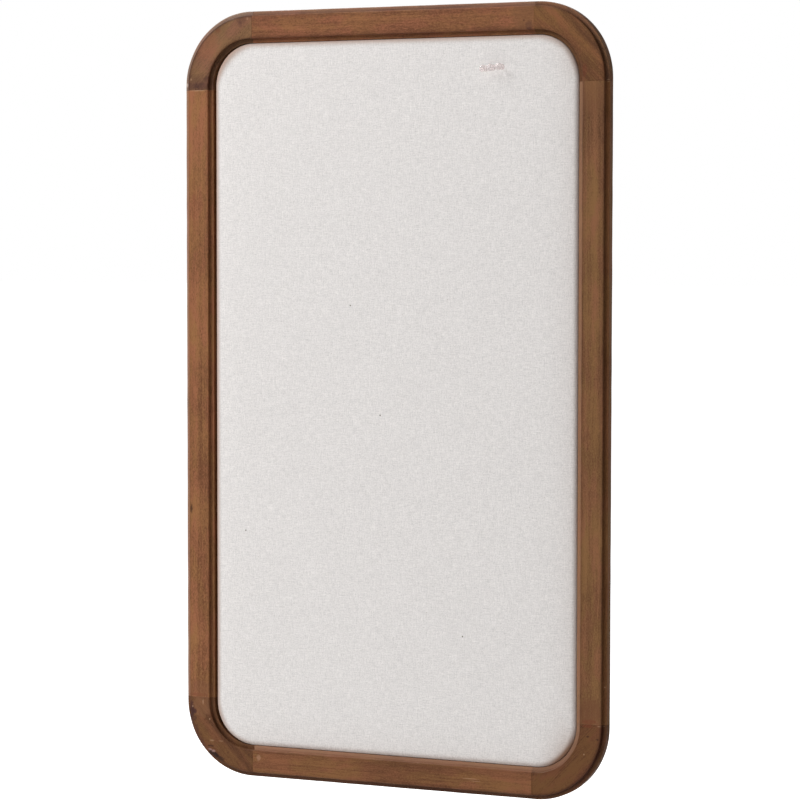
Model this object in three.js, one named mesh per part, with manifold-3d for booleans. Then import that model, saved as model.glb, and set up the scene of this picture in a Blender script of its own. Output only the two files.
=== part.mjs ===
// Linen bulletin board in a stepped softwood frame with round corners.
// Millimetres, +Z up. The board's front looks along -Y and its back along +Y.
// The origin is the middle of the backing panel's rear face, which is flush with the frame's back.

import * as THREE from "three";
import { mergeVertices } from "three/addons/utils/BufferGeometryUtils.js";
import Module from "manifold-3d";

const wasm = await Module();
wasm.setup();

// Frame outline
const boardWidth = 610;
const boardHeight = 1016;
const cornerRadius = 98;
const cornerStraight = 4;

// Frame section, from the outer edge inwards
const outerLipWidth = 5.5;
const bandWidth = 30;
const innerLipWidth = 6;
const baseDepth = 11.5;
const bandHeight = 4.5;
const arrisEase = 1.2;
const rabbetWidth = 9;

// Dowels that join rails and corner blocks
const dowelRadius = 3;
const dowelLength = 30;
const dowelChamfer = 0.8;
const outerDowelInset = 10;
const innerDowelInset = 25;
const dowelClearance = 0.3;

// Backing panel and its screws
const backingThickness = 3.2;
const backingClearance = 0.5;
const screwShankRadius = 1.5;
const screwHeadRadius = 3.2;
const screwHeadHeight = 1.8;
const backScrewLength = 8;
const screwPointLength = 2;
const screwClearance = 0.3;
const screwHeadTopShare = 0.7;
const screwHeadRimShare = 0.6;
const sideScrewFromJoint = 106;
const endScrewFromJoint = 73;

// Linen-covered pad, which is a little narrower than its opening and sits towards the right
const panelGap = 0.4;
const leftPadSlack = 4;
const linenThickness = 0.8;
const linenHemWidth = 25;
const padRecess = 1.6;
const padRollWidth = 7;
const padRollHeight = 5.5;
const padCrown = 0.6;
const coreThickness = 5;
const coreInset = 4.5;
const softGap = 0.3;

// Push pins: places are measured from the board's right and top edges
const pinPlaces = [
  { fromRight: 169.5, fromTop: 83.5 },
  { fromRight: 159, fromTop: 82.5 },
  { fromRight: 147, fromTop: 81.5 },
];
const needleRadius = 0.55;
const needleLength = 9.5;
const needlePointLength = 2;
const needleSocketDepth = 6;
const needleClearance = 0.3;
const socketClearance = 0.05;
const pinSeatGap = 0.3;
const pinLength = 11.5;
const pinCollarRadius = 3.9;
const pinCollarThickness = 1.2;
const pinWaistRadius = 2.1;
const pinCapRadius = 4.7;
const pinCapThickness = 1.9;
const pinOutlineShares = { waistStart: 0.26, waistEnd: 0.46, neck: 0.72, capTop: 0.8 };

// Ring hangers on the back
const hangerFromJoint = 56;
const strapWidth = 12;
const strapLength = 48;
const strapThickness = 1.2;
const knuckleClearance = 0.3;
const ringWireRadius = 1.25;
const ringHalfWidth = 10;
const ringReach = 13;
const ringBendRadius = 2.5;
const hangerScrewLength = 12;
const upperHangerScrewDrop = 22;
const lowerScrewFromStrapEnd = 8;

// Bumpers that keep the frame off the wall
const bumperRadius = 6;
const bumperThickness = 6;
const bumperEase = 1;
const bumperFromJoint = 16;

// One overrun serves every cut, and points closer than the tolerance are one point
const cutOverrun = 2;
const mergeTolerance = 1e-4;

// Rings of the pad's dome, as shares of the way out to its edge
const domeShares = [0.9, 0.7, 0.4];

// Facet counts
const cornerSteps = 14;
const easeSteps = 2;
const panelCornerSteps = 6;
const rollSteps = 5;
const roundSides = 12;
const pinSides = 16;
const ringSteps = 30;
const ringSides = 8;

// Sizes that follow from the ones above
const frameDepth = baseDepth + bandHeight;
const railWidth = outerLipWidth + bandWidth + innerLipWidth;
const halfWidth = boardWidth / 2;
const halfHeight = boardHeight / 2;
const cornerX = halfWidth - cornerRadius;
const cornerZ = halfHeight - cornerRadius;
const jointX = cornerX - cornerStraight;
const jointZ = cornerZ - cornerStraight;
const panelInset = railWidth + panelGap;
const backingInset = railWidth - rabbetWidth + backingClearance;
const backScrewInset = railWidth - rabbetWidth / 2;
const hangerX = halfWidth - (railWidth - rabbetWidth) / 2;
const hangerHeight = jointZ - hangerFromJoint;
const knuckleRadius = ringWireRadius + knuckleClearance + strapThickness;

function finish(color, roughness, metalness = 0, opacity = 1) {
  return new THREE.MeshStandardMaterial({
    color, roughness, metalness, opacity, transparent: opacity < 1, flatShading: true,
  });
}

const railWood = finish(0x87603f, 0.62);
const cornerWood = finish(0x7f5939, 0.62);
const dowelWood = finish(0xc9a477, 0.7);
const linenCloth = finish(0xe3dfdb, 0.95);
const batting = finish(0xf2f0ec, 1);
const softboard = finish(0xa98a63, 0.95);
const hardboard = finish(0x8a6a4a, 0.8);
const steel = finish(0xb9bbbd, 0.35, 1);
const rubber = finish(0x2b2b2b, 0.85);
const clearPlastic = finish(0xf4f6f6, 0.08, 0, 0.45);

const board = new THREE.Group();
board.name = "bulletin_board";

// A closed three.js geometry as a solid that can be cut.
function solidOf(geometry) {
  const bare = geometry.clone();
  bare.deleteAttribute("normal");
  bare.deleteAttribute("uv");
  const merged = mergeVertices(bare, mergeTolerance);
  const index = merged.index.array;
  const triVerts = [];
  for (let i = 0; i < index.length; i += 3) {
    const [a, b, c] = [index[i], index[i + 1], index[i + 2]];
    if (a !== b && b !== c && c !== a) triVerts.push(a, b, c);
  }
  return new wasm.Manifold(new wasm.Mesh({
    numProp: 3,
    vertProperties: new Float32Array(merged.attributes.position.array),
    triVerts: new Uint32Array(triVerts),
  }));
}

// The solid's surface as a three.js geometry.
function geometryOf(solid) {
  const mesh = solid.getMesh();
  const geometry = new THREE.BufferGeometry();
  geometry.setAttribute("position", new THREE.BufferAttribute(mesh.vertProperties, 3));
  geometry.setIndex(new THREE.BufferAttribute(mesh.triVerts, 1));
  geometry.computeVertexNormals();
  return geometry;
}

function cut(geometry, cutters) {
  let solid = solidOf(geometry);
  for (const cutter of cutters) solid = solid.subtract(solidOf(cutter));
  return geometryOf(solid);
}

function addPiece(name, geometry, material) {
  const mesh = new THREE.Mesh(geometry, material);
  mesh.name = name;
  board.add(mesh);
  return mesh;
}

// The faces between rings of equally many points, joined in order and, in a loop, last to first.
function wallFaces(rings, loop = false) {
  const count = rings[0].length;
  const faces = [];
  rings.forEach((_, r) => {
    if (r === rings.length - 1 && !loop) return;
    const here = r * count;
    const next = ((r + 1) % rings.length) * count;
    for (let i = 0; i < count; i += 1) {
      const j = (i + 1) % count;
      faces.push(here + i, here + j, next + j, here + i, next + j, next + i);
    }
  });
  return faces;
}

function indexedGeometry(points, faces) {
  const geometry = new THREE.BufferGeometry().setFromPoints(points);
  geometry.setIndex(faces);
  geometry.computeVertexNormals();
  return geometry;
}

// A body of rings that is closed at both ends by fans to the points in the middle of its end rings.
function fanBody(rings, startDepth, endDepth) {
  const faces = wallFaces(rings);
  const count = rings[0].length;
  const first = rings.length * count;
  const last = first - count;
  for (let i = 0; i < count; i += 1) {
    const j = (i + 1) % count;
    faces.push(first, j, i, first + 1, last + i, last + j);
  }
  const middles = [new THREE.Vector3(0, -startDepth, 0), new THREE.Vector3(0, -endDepth, 0)];
  return indexedGeometry([...rings.flat(), ...middles], faces);
}

// A closed outline with its sharp corners eased by short curves.
function easedShape(corners) {
  const shape = new THREE.Shape();
  corners.forEach(([x, y, ease], i) => {
    const here = new THREE.Vector2(x, y);
    const [lastX, lastY] = corners.at(i - 1);
    const [nextX, nextY] = corners[(i + 1) % corners.length];
    const before = new THREE.Vector2(lastX, lastY).sub(here).setLength(ease).add(here);
    const after = new THREE.Vector2(nextX, nextY).sub(here).setLength(ease).add(here);
    if (i === 0) shape.moveTo(before.x, before.y);
    else shape.lineTo(before.x, before.y);
    if (ease > 0) shape.quadraticCurveTo(here.x, here.y, after.x, after.y);
  });
  shape.closePath();
  return shape;
}

// The frame's section: x runs inwards from the outer edge, y forwards from the back.
const bandOuter = outerLipWidth;
const bandInner = outerLipWidth + bandWidth;
const frameSection = easedShape([
  [0, 0, arrisEase],
  [railWidth - rabbetWidth, 0, 0],
  [railWidth - rabbetWidth, backingThickness, 0],
  [railWidth, backingThickness, 0],
  [railWidth, baseDepth, arrisEase],
  [bandInner, baseDepth, 0],
  [bandInner, frameDepth, arrisEase],
  [bandOuter, frameDepth, arrisEase],
  [bandOuter, baseDepth, 0],
  [0, baseDepth, arrisEase],
]);

const sectionOutline = frameSection.getPoints(easeSteps);
if (sectionOutline[0].equals(sectionOutline.at(-1))) sectionOutline.pop();

// The place of a section's point, from a point on the outer edge and the outward direction there.
function sectionPoint(edge, outward, across, forward) {
  return edge.clone().addScaledVector(outward, -across).setY(-forward);
}

const right = new THREE.Vector3(1, 0, 0);
const up = new THREE.Vector3(0, 0, 1);
const front = new THREE.Vector3(0, -1, 0);
const back = new THREE.Vector3(0, 1, 0);

// A round cutter or rod from one point towards a direction.
function rod(radius, start, direction, length, sides = roundSides) {
  const turn = new THREE.Quaternion().setFromUnitVectors(new THREE.Vector3(0, 1, 0), direction);
  const middle = start.clone().addScaledVector(direction, length / 2);
  return new THREE.CylinderGeometry(radius, radius, length, sides).applyQuaternion(turn)
    .translate(middle.x, middle.y, middle.z);
}

// A turned piece: profile points are [radius, distance along the direction] from the start point.
function turned(profile, start, direction, sides = roundSides) {
  const turn = new THREE.Quaternion().setFromUnitVectors(new THREE.Vector3(0, 1, 0), direction);
  const points = profile.map(([radius, along]) => new THREE.Vector2(radius, along));
  return new THREE.LatheGeometry(points, sides).applyQuaternion(turn).translate(start.x, start.y, start.z);
}

// The four corners of the frame, anticlockwise from the top right as seen from the front.
const corners = [
  { name: "top_right", x: 1, z: 1, startTurn: 0 },
  { name: "top_left", x: -1, z: 1, startTurn: Math.PI / 2 },
  { name: "bottom_left", x: -1, z: -1, startTurn: Math.PI },
  { name: "bottom_right", x: 1, z: -1, startTurn: -Math.PI / 2 },
];

// Each corner block meets a side rail and an end rail. The tangent points from the block to the rail.
const joints = corners.flatMap((corner) => {
  const centre = new THREE.Vector3(corner.x * cornerX, 0, corner.z * cornerZ);
  const sideways = right.clone().multiplyScalar(corner.x);
  const upright = up.clone().multiplyScalar(corner.z);
  return [
    { corner, kind: "side", centre, outward: sideways, tangent: upright.clone().negate() },
    { corner, kind: "end", centre, outward: upright, tangent: sideways.clone().negate() },
  ];
});

const dowelPlaces = joints.flatMap((joint) => [
  ["outer", outerDowelInset],
  ["inner", innerDowelInset],
].map(([row, inset]) => {
  const edge = joint.centre.clone()
    .addScaledVector(joint.outward, cornerRadius)
    .addScaledVector(joint.tangent, cornerStraight);
  return {
    name: `dowel_${joint.corner.name}_${joint.kind}_${row}`,
    middle: sectionPoint(edge, joint.outward, inset, frameDepth / 2),
    tangent: joint.tangent,
  };
}));

const dowelHoles = dowelPlaces.map(({ middle, tangent }) => {
  const holeHalf = dowelLength / 2 + dowelClearance;
  const start = middle.clone().addScaledVector(tangent, -holeHalf);
  return rod(dowelRadius + dowelClearance, start, tangent, 2 * holeHalf);
});

// Screws that hold the backing panel to the rabbet: three on each side rail, two on each end rail.
const sideScrewX = halfWidth - backScrewInset;
const sideScrewZ = jointZ - sideScrewFromJoint;
const endScrewX = jointX - endScrewFromJoint;
const endScrewZ = halfHeight - backScrewInset;
const backScrewPlaces = [
  ...[-1, 1].flatMap((side) => [-1, 0, 1].map((row) => [side * sideScrewX, row * sideScrewZ])),
  ...[-1, 1].flatMap((end) => [-1, 1].map((row) => [row * endScrewX, end * endScrewZ])),
].map(([x, z]) => new THREE.Vector3(x, 0, z));

const backScrewHoles = backScrewPlaces.map((place) => rod(
  screwShankRadius + screwClearance,
  place.clone().addScaledVector(back, cutOverrun),
  front,
  cutOverrun + backScrewLength + screwClearance,
));

// Hanger screws pass through the strap into the side rail.
const hangers = [
  { name: "left", x: -hangerX },
  { name: "right", x: hangerX },
];
const hangerScrewPlaces = hangers.flatMap(({ name, x }) => [
  ["upper", upperHangerScrewDrop],
  ["lower", strapLength - lowerScrewFromStrapEnd],
].map(([row, drop]) => ({
  name: `hanger_${name}_screw_${row}`,
  place: new THREE.Vector3(x, strapThickness, hangerHeight - drop),
})));
const hangerScrewHoles = hangerScrewPlaces.map(({ place }) => rod(
  screwShankRadius + screwClearance,
  place.clone().addScaledVector(back, cutOverrun),
  front,
  cutOverrun + hangerScrewLength + screwClearance,
));

const frameHoles = [...dowelHoles, ...backScrewHoles, ...hangerScrewHoles];

// Only the holes that reach into a piece are cut from it.
function holesIn(geometry, holes) {
  geometry.computeBoundingBox();
  return holes.filter((hole) => {
    hole.computeBoundingBox();
    return hole.boundingBox.intersectsBox(geometry.boundingBox);
  });
}

// A straight rail is the section drawn out between two corner blocks.
function railGeometry(outward, length) {
  const inward = outward.clone().negate();
  const along = inward.clone().cross(front);
  const reach = Math.abs(outward.x) > 0 ? halfWidth : halfHeight;
  const start = outward.clone().multiplyScalar(reach).addScaledVector(along, -length / 2);
  const placing = new THREE.Matrix4().makeBasis(inward, front, along).setPosition(start);
  return new THREE.ExtrudeGeometry(frameSection, {
    depth: length, bevelEnabled: false, curveSegments: easeSteps,
  }).applyMatrix4(placing);
}

const rails = [
  ["left_rail", right.clone().negate(), 2 * jointZ],
  ["right_rail", right, 2 * jointZ],
  ["top_rail", up, 2 * jointX],
  ["bottom_rail", up.clone().negate(), 2 * jointX],
];
for (const [name, outward, length] of rails) {
  const rail = railGeometry(outward, length);
  addPiece(name, cut(rail, holesIn(rail, frameHoles)), railWood);
}

// A corner block is the section carried round a quarter turn. At both ends it runs on straight to a flat end.
function cornerGeometry(corner) {
  const centre = new THREE.Vector3(corner.x * cornerX, 0, corner.z * cornerZ);
  const rings = [];
  for (let step = 0; step <= cornerSteps; step += 1) {
    const turn = corner.startTurn + (step / cornerSteps) * Math.PI / 2;
    const outward = new THREE.Vector3(Math.cos(turn), 0, Math.sin(turn));
    const edge = centre.clone().addScaledVector(outward, cornerRadius);
    rings.push(sectionOutline.map(({ x, y }) => sectionPoint(edge, outward, x, y)));
  }
  const sideways = right.clone().multiplyScalar(corner.x * cornerStraight);
  const upright = up.clone().multiplyScalar(corner.z * cornerStraight);
  const [startShift, endShift] = corner.x === corner.z ? [upright, sideways] : [sideways, upright];
  rings.unshift(rings[0].map((point) => point.clone().sub(startShift)));
  rings.push(rings.at(-1).map((point) => point.clone().sub(endShift)));
  const faces = wallFaces(rings);
  const last = (rings.length - 1) * sectionOutline.length;
  for (const [a, b, c] of THREE.ShapeUtils.triangulateShape(sectionOutline, [])) {
    faces.push(a, c, b, last + a, last + b, last + c);
  }
  return indexedGeometry(rings.flat(), faces);
}

for (const corner of corners) {
  const block = cornerGeometry(corner);
  addPiece(`corner_${corner.name}`, cut(block, holesIn(block, dowelHoles)), cornerWood);
}

for (const { name, middle, tangent } of dowelPlaces) {
  const start = middle.clone().addScaledVector(tangent, -dowelLength / 2);
  addPiece(name, turned([
    [0, 0],
    [dowelRadius - dowelChamfer, 0],
    [dowelRadius, dowelChamfer],
    [dowelRadius, dowelLength - dowelChamfer],
    [dowelRadius - dowelChamfer, dowelLength],
    [0, dowelLength],
  ], start, tangent), dowelWood);
}

// A rounded rectangle that lies a given inset inside the frame's outer edge, at one depth.
function outlineRing(inset, forward, share = 1, leftSlack = 0) {
  const radius = cornerRadius - inset;
  return corners.flatMap((corner) => {
    const middleX = corner.x < 0 ? leftSlack - cornerX : cornerX;
    const points = [];
    for (let step = 0; step <= panelCornerSteps; step += 1) {
      const turn = corner.startTurn + (step / panelCornerSteps) * Math.PI / 2;
      points.push(new THREE.Vector3(
        (middleX + radius * Math.cos(turn)) * share,
        -forward,
        (corner.z * cornerZ + radius * Math.sin(turn)) * share,
      ));
    }
    return points;
  });
}

// The same outline for the pad.
function padRing(inset, forward, share = 1) {
  return outlineRing(inset, forward, share, leftPadSlack);
}

// The backing panel lies in the rabbet, flush with the frame's back.
const backingPanel = fanBody(
  [outlineRing(backingInset, 0), outlineRing(backingInset, backingThickness)],
  0,
  backingThickness,
);
addPiece("backing_panel", cut(backingPanel, backScrewHoles), hardboard);

// Depths of the pad's layers, forwards from the frame's back.
const hemBack = backingThickness + softGap;
const hemFront = hemBack + linenThickness;
const coreBack = hemFront + softGap;
const coreFront = coreBack + coreThickness;
const paddingBack = coreFront + softGap;
const paddingSkin = linenThickness + softGap;
const linenFront = frameDepth - padRecess;
const domeInset = panelInset + padRollWidth;

// How far the pad's low dome stands proud of its rolled edge, at a share of the way out to that edge.
function crownAt(share) {
  return padCrown * (1 - share * share);
}

// Each pin's collar sits just clear of the linen, and its needle goes into the core.
const pins = pinPlaces.map(({ fromRight, fromTop }, i) => {
  const x = halfWidth - fromRight;
  const z = halfHeight - fromTop;
  const share = Math.max(Math.abs(x) / (halfWidth - domeInset), Math.abs(z) / (halfHeight - domeInset));
  const seatDepth = linenFront + crownAt(share) + pinSeatGap;
  return { name: `pin_${i + 1}`, seat: new THREE.Vector3(x, -seatDepth, z) };
});

const pinHoles = pins.map(({ seat }) => rod(
  needleRadius + needleClearance,
  seat.clone().addScaledVector(front, cutOverrun),
  back,
  cutOverrun + needleLength + needleClearance,
));

const coreRings = [coreBack, coreFront].map((depth) => padRing(panelInset + coreInset, depth));
addPiece("core_board", cut(fanBody(coreRings, coreBack, coreFront), pinHoles), softboard);

// The front of the pad as rings: a quarter of an ellipse at the edge, then a low dome up to the middle.
// The skin is how far inside the linen's outer surface the rings lie.
function frontRings(skin) {
  const rollStart = linenFront - padRollHeight;
  const rings = [];
  for (let step = 0; step <= rollSteps; step += 1) {
    const turn = (step / rollSteps) * Math.PI / 2;
    rings.push(padRing(
      domeInset - (padRollWidth - skin) * Math.cos(turn),
      rollStart + (padRollHeight - skin) * Math.sin(turn),
    ));
  }
  for (const share of domeShares) {
    rings.push(padRing(domeInset, linenFront - skin + crownAt(share), share));
  }
  return rings;
}

// The padding covers the core's front and wraps its edge.
const paddingFront = linenFront - paddingSkin + padCrown;
const wrapInset = panelInset + coreInset - softGap;
const padding = fanBody([
  padRing(wrapInset, paddingBack),
  padRing(wrapInset, coreBack),
  padRing(panelInset + paddingSkin, coreBack),
  ...frontRings(paddingSkin),
], paddingBack, paddingFront);
addPiece("padding", cut(padding, pinHoles), batting);

// The linen goes round the pad's edge and is turned in behind the core as a hem.
const linenRings = [
  ...frontRings(linenThickness).reverse(),
  padRing(panelInset + linenThickness, hemFront),
  padRing(panelInset + linenHemWidth, hemFront),
  padRing(panelInset + linenHemWidth, hemBack),
  padRing(panelInset, hemBack),
  ...frontRings(0),
];
const linenMiddle = linenFront + padCrown;
const linenSkin = fanBody(linenRings, linenMiddle - linenThickness, linenMiddle);
addPiece("linen_cover", cut(linenSkin, pinHoles), linenCloth);

// A pan-head screw. Its head rests on the surface at the place and its shank points forwards.
function screwGeometry(place, length) {
  const headTop = place.clone().addScaledVector(back, screwHeadHeight);
  const end = screwHeadHeight + length;
  return turned([
    [0, 0],
    [screwHeadRadius * screwHeadTopShare, 0],
    [screwHeadRadius, screwHeadHeight * screwHeadRimShare],
    [screwHeadRadius, screwHeadHeight],
    [screwShankRadius, screwHeadHeight],
    [screwShankRadius, end - screwPointLength],
    [0, end],
  ], headTop, front);
}

backScrewPlaces.forEach((place, i) => {
  addPiece(`back_screw_${i + 1}`, screwGeometry(place, backScrewLength), steel);
});
for (const { name, place } of hangerScrewPlaces) {
  addPiece(name, screwGeometry(place, hangerScrewLength), steel);
}

// The strap: a flat plate that is rolled at its top into a knuckle for the ring's straight bar.
function strapGeometry(x) {
  const side = new THREE.Shape();
  side.moveTo(0, -strapLength);
  side.lineTo(strapThickness, -strapLength);
  const rollStart = Math.acos(strapThickness / knuckleRadius - 1);
  side.absarc(knuckleRadius, 0, knuckleRadius, -rollStart, Math.PI, false);
  side.closePath();
  const bore = new THREE.Path();
  bore.absarc(knuckleRadius, 0, ringWireRadius + knuckleClearance, 0, 2 * Math.PI, true);
  side.holes.push(bore);
  const placing = new THREE.Matrix4().makeBasis(back, up, right)
    .setPosition(x - strapWidth / 2, 0, hangerHeight);
  return new THREE.ExtrudeGeometry(side, {
    depth: strapWidth, bevelEnabled: false, curveSegments: roundSides,
  }).applyMatrix4(placing);
}

// The ring's wire runs through the knuckle and hangs below it in a D.
const ringLine = new THREE.Path();
const bendX = ringHalfWidth - ringBendRadius;
ringLine.moveTo(-bendX, 0);
ringLine.lineTo(bendX, 0);
ringLine.absarc(bendX, -ringBendRadius, ringBendRadius, Math.PI / 2, 0, true);
ringLine.absellipse(0, -ringBendRadius, ringHalfWidth, ringReach - ringBendRadius, 0, -Math.PI, true);
ringLine.absarc(-bendX, -ringBendRadius, ringBendRadius, Math.PI, Math.PI / 2, true);

function ringGeometry(x) {
  const line = ringLine.getSpacedPoints(ringSteps).slice(0, ringSteps);
  const rings = line.map((point, i) => {
    const before = line.at(i - 1);
    const after = line[(i + 1) % ringSteps];
    const along = new THREE.Vector3(after.x - before.x, 0, after.y - before.y).normalize();
    const sideways = back.clone().cross(along);
    const middle = new THREE.Vector3(x + point.x, knuckleRadius, hangerHeight + point.y);
    return Array.from({ length: ringSides }, (_, side) => {
      const turn = (side / ringSides) * 2 * Math.PI;
      return middle.clone()
        .addScaledVector(back, ringWireRadius * Math.sin(turn))
        .addScaledVector(sideways, ringWireRadius * Math.cos(turn));
    });
  });
  return indexedGeometry(rings.flat(), wallFaces(rings, true));
}

for (const { name, x } of hangers) {
  addPiece(`hanger_${name}_strap`, cut(strapGeometry(x), hangerScrewHoles), steel);
  addPiece(`hanger_${name}_ring`, ringGeometry(x), steel);
}

for (const corner of corners) {
  const place = new THREE.Vector3(corner.x * hangerX, 0, corner.z * (jointZ - bumperFromJoint));
  addPiece(`bumper_${corner.name}`, turned([
    [0, 0],
    [bumperRadius, 0],
    [bumperRadius, bumperThickness - bumperEase],
    [bumperRadius - bumperEase, bumperThickness],
    [0, bumperThickness],
  ], place, back, pinSides), rubber);
}

// A pin's head is turned about its needle: a collar on the linen, a waist for the fingers and a cap.
const socketRadius = needleRadius + socketClearance;
const headOutline = [
  [0, needleSocketDepth + socketClearance],
  [socketRadius, needleSocketDepth + socketClearance],
  [socketRadius, 0],
  [pinCollarRadius, 0],
  [pinCollarRadius, pinCollarThickness],
  [pinWaistRadius, pinLength * pinOutlineShares.waistStart],
  [pinWaistRadius, pinLength * pinOutlineShares.waistEnd],
  [pinCapRadius * pinOutlineShares.neck, pinLength - pinCapThickness],
  [pinCapRadius, pinLength - pinCapThickness / 2],
  [pinCapRadius * pinOutlineShares.capTop, pinLength],
  [0, pinLength],
];
const needleOutline = [
  [0, 0],
  [needleRadius, 0],
  [needleRadius, needleSocketDepth + needleLength - needlePointLength],
  [0, needleSocketDepth + needleLength],
];
for (const { name, seat } of pins) {
  addPiece(`${name}_head`, turned(headOutline, seat, front, pinSides), clearPlastic);
  const inHead = seat.clone().addScaledVector(front, needleSocketDepth);
  addPiece(`${name}_needle`, turned(needleOutline, inHead, back), steel);
}

export default board;
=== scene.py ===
import math

import bpy
import numpy as np
from mathutils import Matrix, Vector


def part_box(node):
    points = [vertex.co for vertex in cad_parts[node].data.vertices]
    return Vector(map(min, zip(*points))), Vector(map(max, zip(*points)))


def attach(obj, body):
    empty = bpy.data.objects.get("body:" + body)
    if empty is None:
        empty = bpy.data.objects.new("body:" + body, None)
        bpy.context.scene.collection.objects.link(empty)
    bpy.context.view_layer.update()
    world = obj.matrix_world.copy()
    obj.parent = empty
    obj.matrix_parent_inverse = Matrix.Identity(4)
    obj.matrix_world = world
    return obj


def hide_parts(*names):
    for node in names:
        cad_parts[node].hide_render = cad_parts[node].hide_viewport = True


print("loading the frame")
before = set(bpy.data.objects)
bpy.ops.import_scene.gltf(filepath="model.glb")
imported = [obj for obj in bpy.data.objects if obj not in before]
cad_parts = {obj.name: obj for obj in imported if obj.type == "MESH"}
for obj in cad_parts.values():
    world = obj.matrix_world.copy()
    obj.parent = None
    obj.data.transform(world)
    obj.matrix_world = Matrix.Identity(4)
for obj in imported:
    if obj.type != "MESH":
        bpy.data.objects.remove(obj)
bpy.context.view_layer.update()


def nodeBox(node):  # the lowest and highest corner of a CAD node as arrays
    low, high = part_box(node)
    return np.array(low), np.array(high)


def tint(red, green, blue):  # an eight-bit screen colour as linear values with alpha
    share = np.array([red, green, blue]) / 255
    linear = np.where(share > 0.04045, ((share + 0.055) / 1.055) ** 2.4, share / 12.92)
    return (*linear.tolist(), 1.0)


def middleAt(low, high, y):  # the middle of a box seen from the front, at a given y
    return (low[0] + high[0]) / 2, y, (low[2] + high[2]) / 2


def wayAt(turn):  # the way at a turn, or at each of many, as its cosine and sine
    return np.stack([np.cos(turn), np.sin(turn)], -1)


# Sizes read from the frame, in metres
board = dict(
    halfWidth=nodeBox("right_rail")[1][0],
    halfHeight=nodeBox("top_rail")[1][2],
    jointX=nodeBox("top_rail")[1][0],
    jointZ=nodeBox("right_rail")[1][2],
    cornerStraight=0.004,
    railWidth=np.ptp([corner[0] for corner in nodeBox("right_rail")]),
    depth=-nodeBox("right_rail")[0][1],
    rabbetDepth=-nodeBox("backing_panel")[0][1],
)
board["cornerX"] = board["jointX"] + board["cornerStraight"]
board["cornerZ"] = board["jointZ"] + board["cornerStraight"]
board["cornerRadius"] = board["halfWidth"] - board["cornerX"]
board["padSlack"] = nodeBox("linen_cover")[0][0] + nodeBox("linen_cover")[1][0]
board["padInset"] = board["halfWidth"] - nodeBox("linen_cover")[1][0]

# The corners in turn round the frame, as signs of x and z and the turn where each arc starts
cornerSigns = dict(
    top_right=(1, 1, 0.0),
    top_left=(-1, 1, math.pi / 2),
    bottom_left=(-1, -1, math.pi),
    bottom_right=(1, -1, -math.pi / 2),
)


# Camera: the place and turn come from the board's outline in the photograph
camera = dict(
    place=(1.8393, -3.7380, 0.1935),
    turn=26.106,
    tilt=-3.564,
    roll=0.067,
    focalPixels=3200.1,
    imagePixels=800,
    sensor=36.0,
    lift=0.0625,
    farthest=400,
)


def makeCamera():
    data = bpy.data.cameras.new("photo_camera")
    data.sensor_width = camera["sensor"]
    data.lens = camera["focalPixels"] * camera["sensor"] / camera["imagePixels"]
    data.shift_y = camera["lift"]
    data.clip_end = camera["farthest"]
    eye = bpy.data.objects.new("photo_camera", data)
    level = math.radians(90 + camera["tilt"])
    turned = Matrix.Rotation(math.radians(camera["turn"]), 4, "Z") @ Matrix.Rotation(level, 4, "X")
    rolled = turned @ Matrix.Rotation(math.radians(camera["roll"]), 4, "Z")
    eye.matrix_world = Matrix.Translation(camera["place"]) @ rolled
    bpy.context.scene.collection.objects.link(eye)
    bpy.context.scene.camera = eye


# Shader helpers: each adds one node to a tree and gives back its output


def feed(tree, made, inputs):  # links each value that is a socket and sets each other one
    for name, value in inputs.items():
        if isinstance(value, bpy.types.NodeSocket):
            tree.links.new(value, made.inputs[name])
        else:
            made.inputs[name].default_value = value


def put(tree, kind, inputs=None, **settings):
    made = tree.nodes.new(kind)
    for name, value in settings.items():
        setattr(made, name, value)
    feed(tree, made, inputs or {})
    return made


def calc(tree, operation, *values, clamp=False):
    made = put(tree, "ShaderNodeMath", dict(enumerate(values)), operation=operation, use_clamp=clamp)
    return made.outputs[0]


def times(tree, first, second):
    return calc(tree, "MULTIPLY", first, second)


def plus(tree, first, second, clamp=False):
    return calc(tree, "ADD", first, second, clamp=clamp)


def minus(tree, first, second):
    return calc(tree, "SUBTRACT", first, second)


def calcVector(tree, operation, *values):
    made = put(tree, "ShaderNodeVectorMath", dict(enumerate(values)), operation=operation)
    return made.outputs["Value" if operation == "LENGTH" else "Vector"]


def mixColor(tree, factor, first, second, mode="MIX"):
    made = put(tree, "ShaderNodeMix", data_type="RGBA", blend_type=mode)
    feed(tree, made, {0: factor, 6: first, 7: second})
    return made.outputs[2]


def spread(tree, value, low, high, toLow=0.0, toHigh=1.0):  # a smooth step from one range to the other
    inputs = {"Value": value, "From Min": low, "From Max": high, "To Min": toLow, "To Max": toHigh}
    return put(tree, "ShaderNodeMapRange", inputs, interpolation_type="SMOOTHSTEP").outputs["Result"]


def noiseOf(tree, vector, sizes, detail=2.0, roughness=0.5):  # sizes are the noise's grain along each axis
    scaled = calcVector(tree, "DIVIDE", vector, tuple(sizes))
    inputs = {"Vector": scaled, "Scale": 1.0, "Detail": detail, "Roughness": roughness}
    return put(tree, "ShaderNodeTexNoise", inputs).outputs["Fac"]


def startGroup(name, inputs, outputs):  # a shader node group with named sockets
    kinds = dict(color="NodeSocketColor", value="NodeSocketFloat", vector="NodeSocketVector")
    group = bpy.data.node_groups.new(name, "ShaderNodeTree")
    for label, (kind, value) in inputs.items():
        socket = group.interface.new_socket(label, in_out="INPUT", socket_type=kinds[kind])
        if value is not None:
            socket.default_value = value
    for label, kind in outputs.items():
        group.interface.new_socket(label, in_out="OUTPUT", socket_type=kinds[kind])
    source = group.nodes.new("NodeGroupInput").outputs
    result = group.nodes.new("NodeGroupOutput").inputs
    return group, source, result


def useGroup(tree, group, inputs):
    made = tree.nodes.new("ShaderNodeGroup")
    made.node_tree = group
    feed(tree, made, inputs)
    return made.outputs


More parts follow.
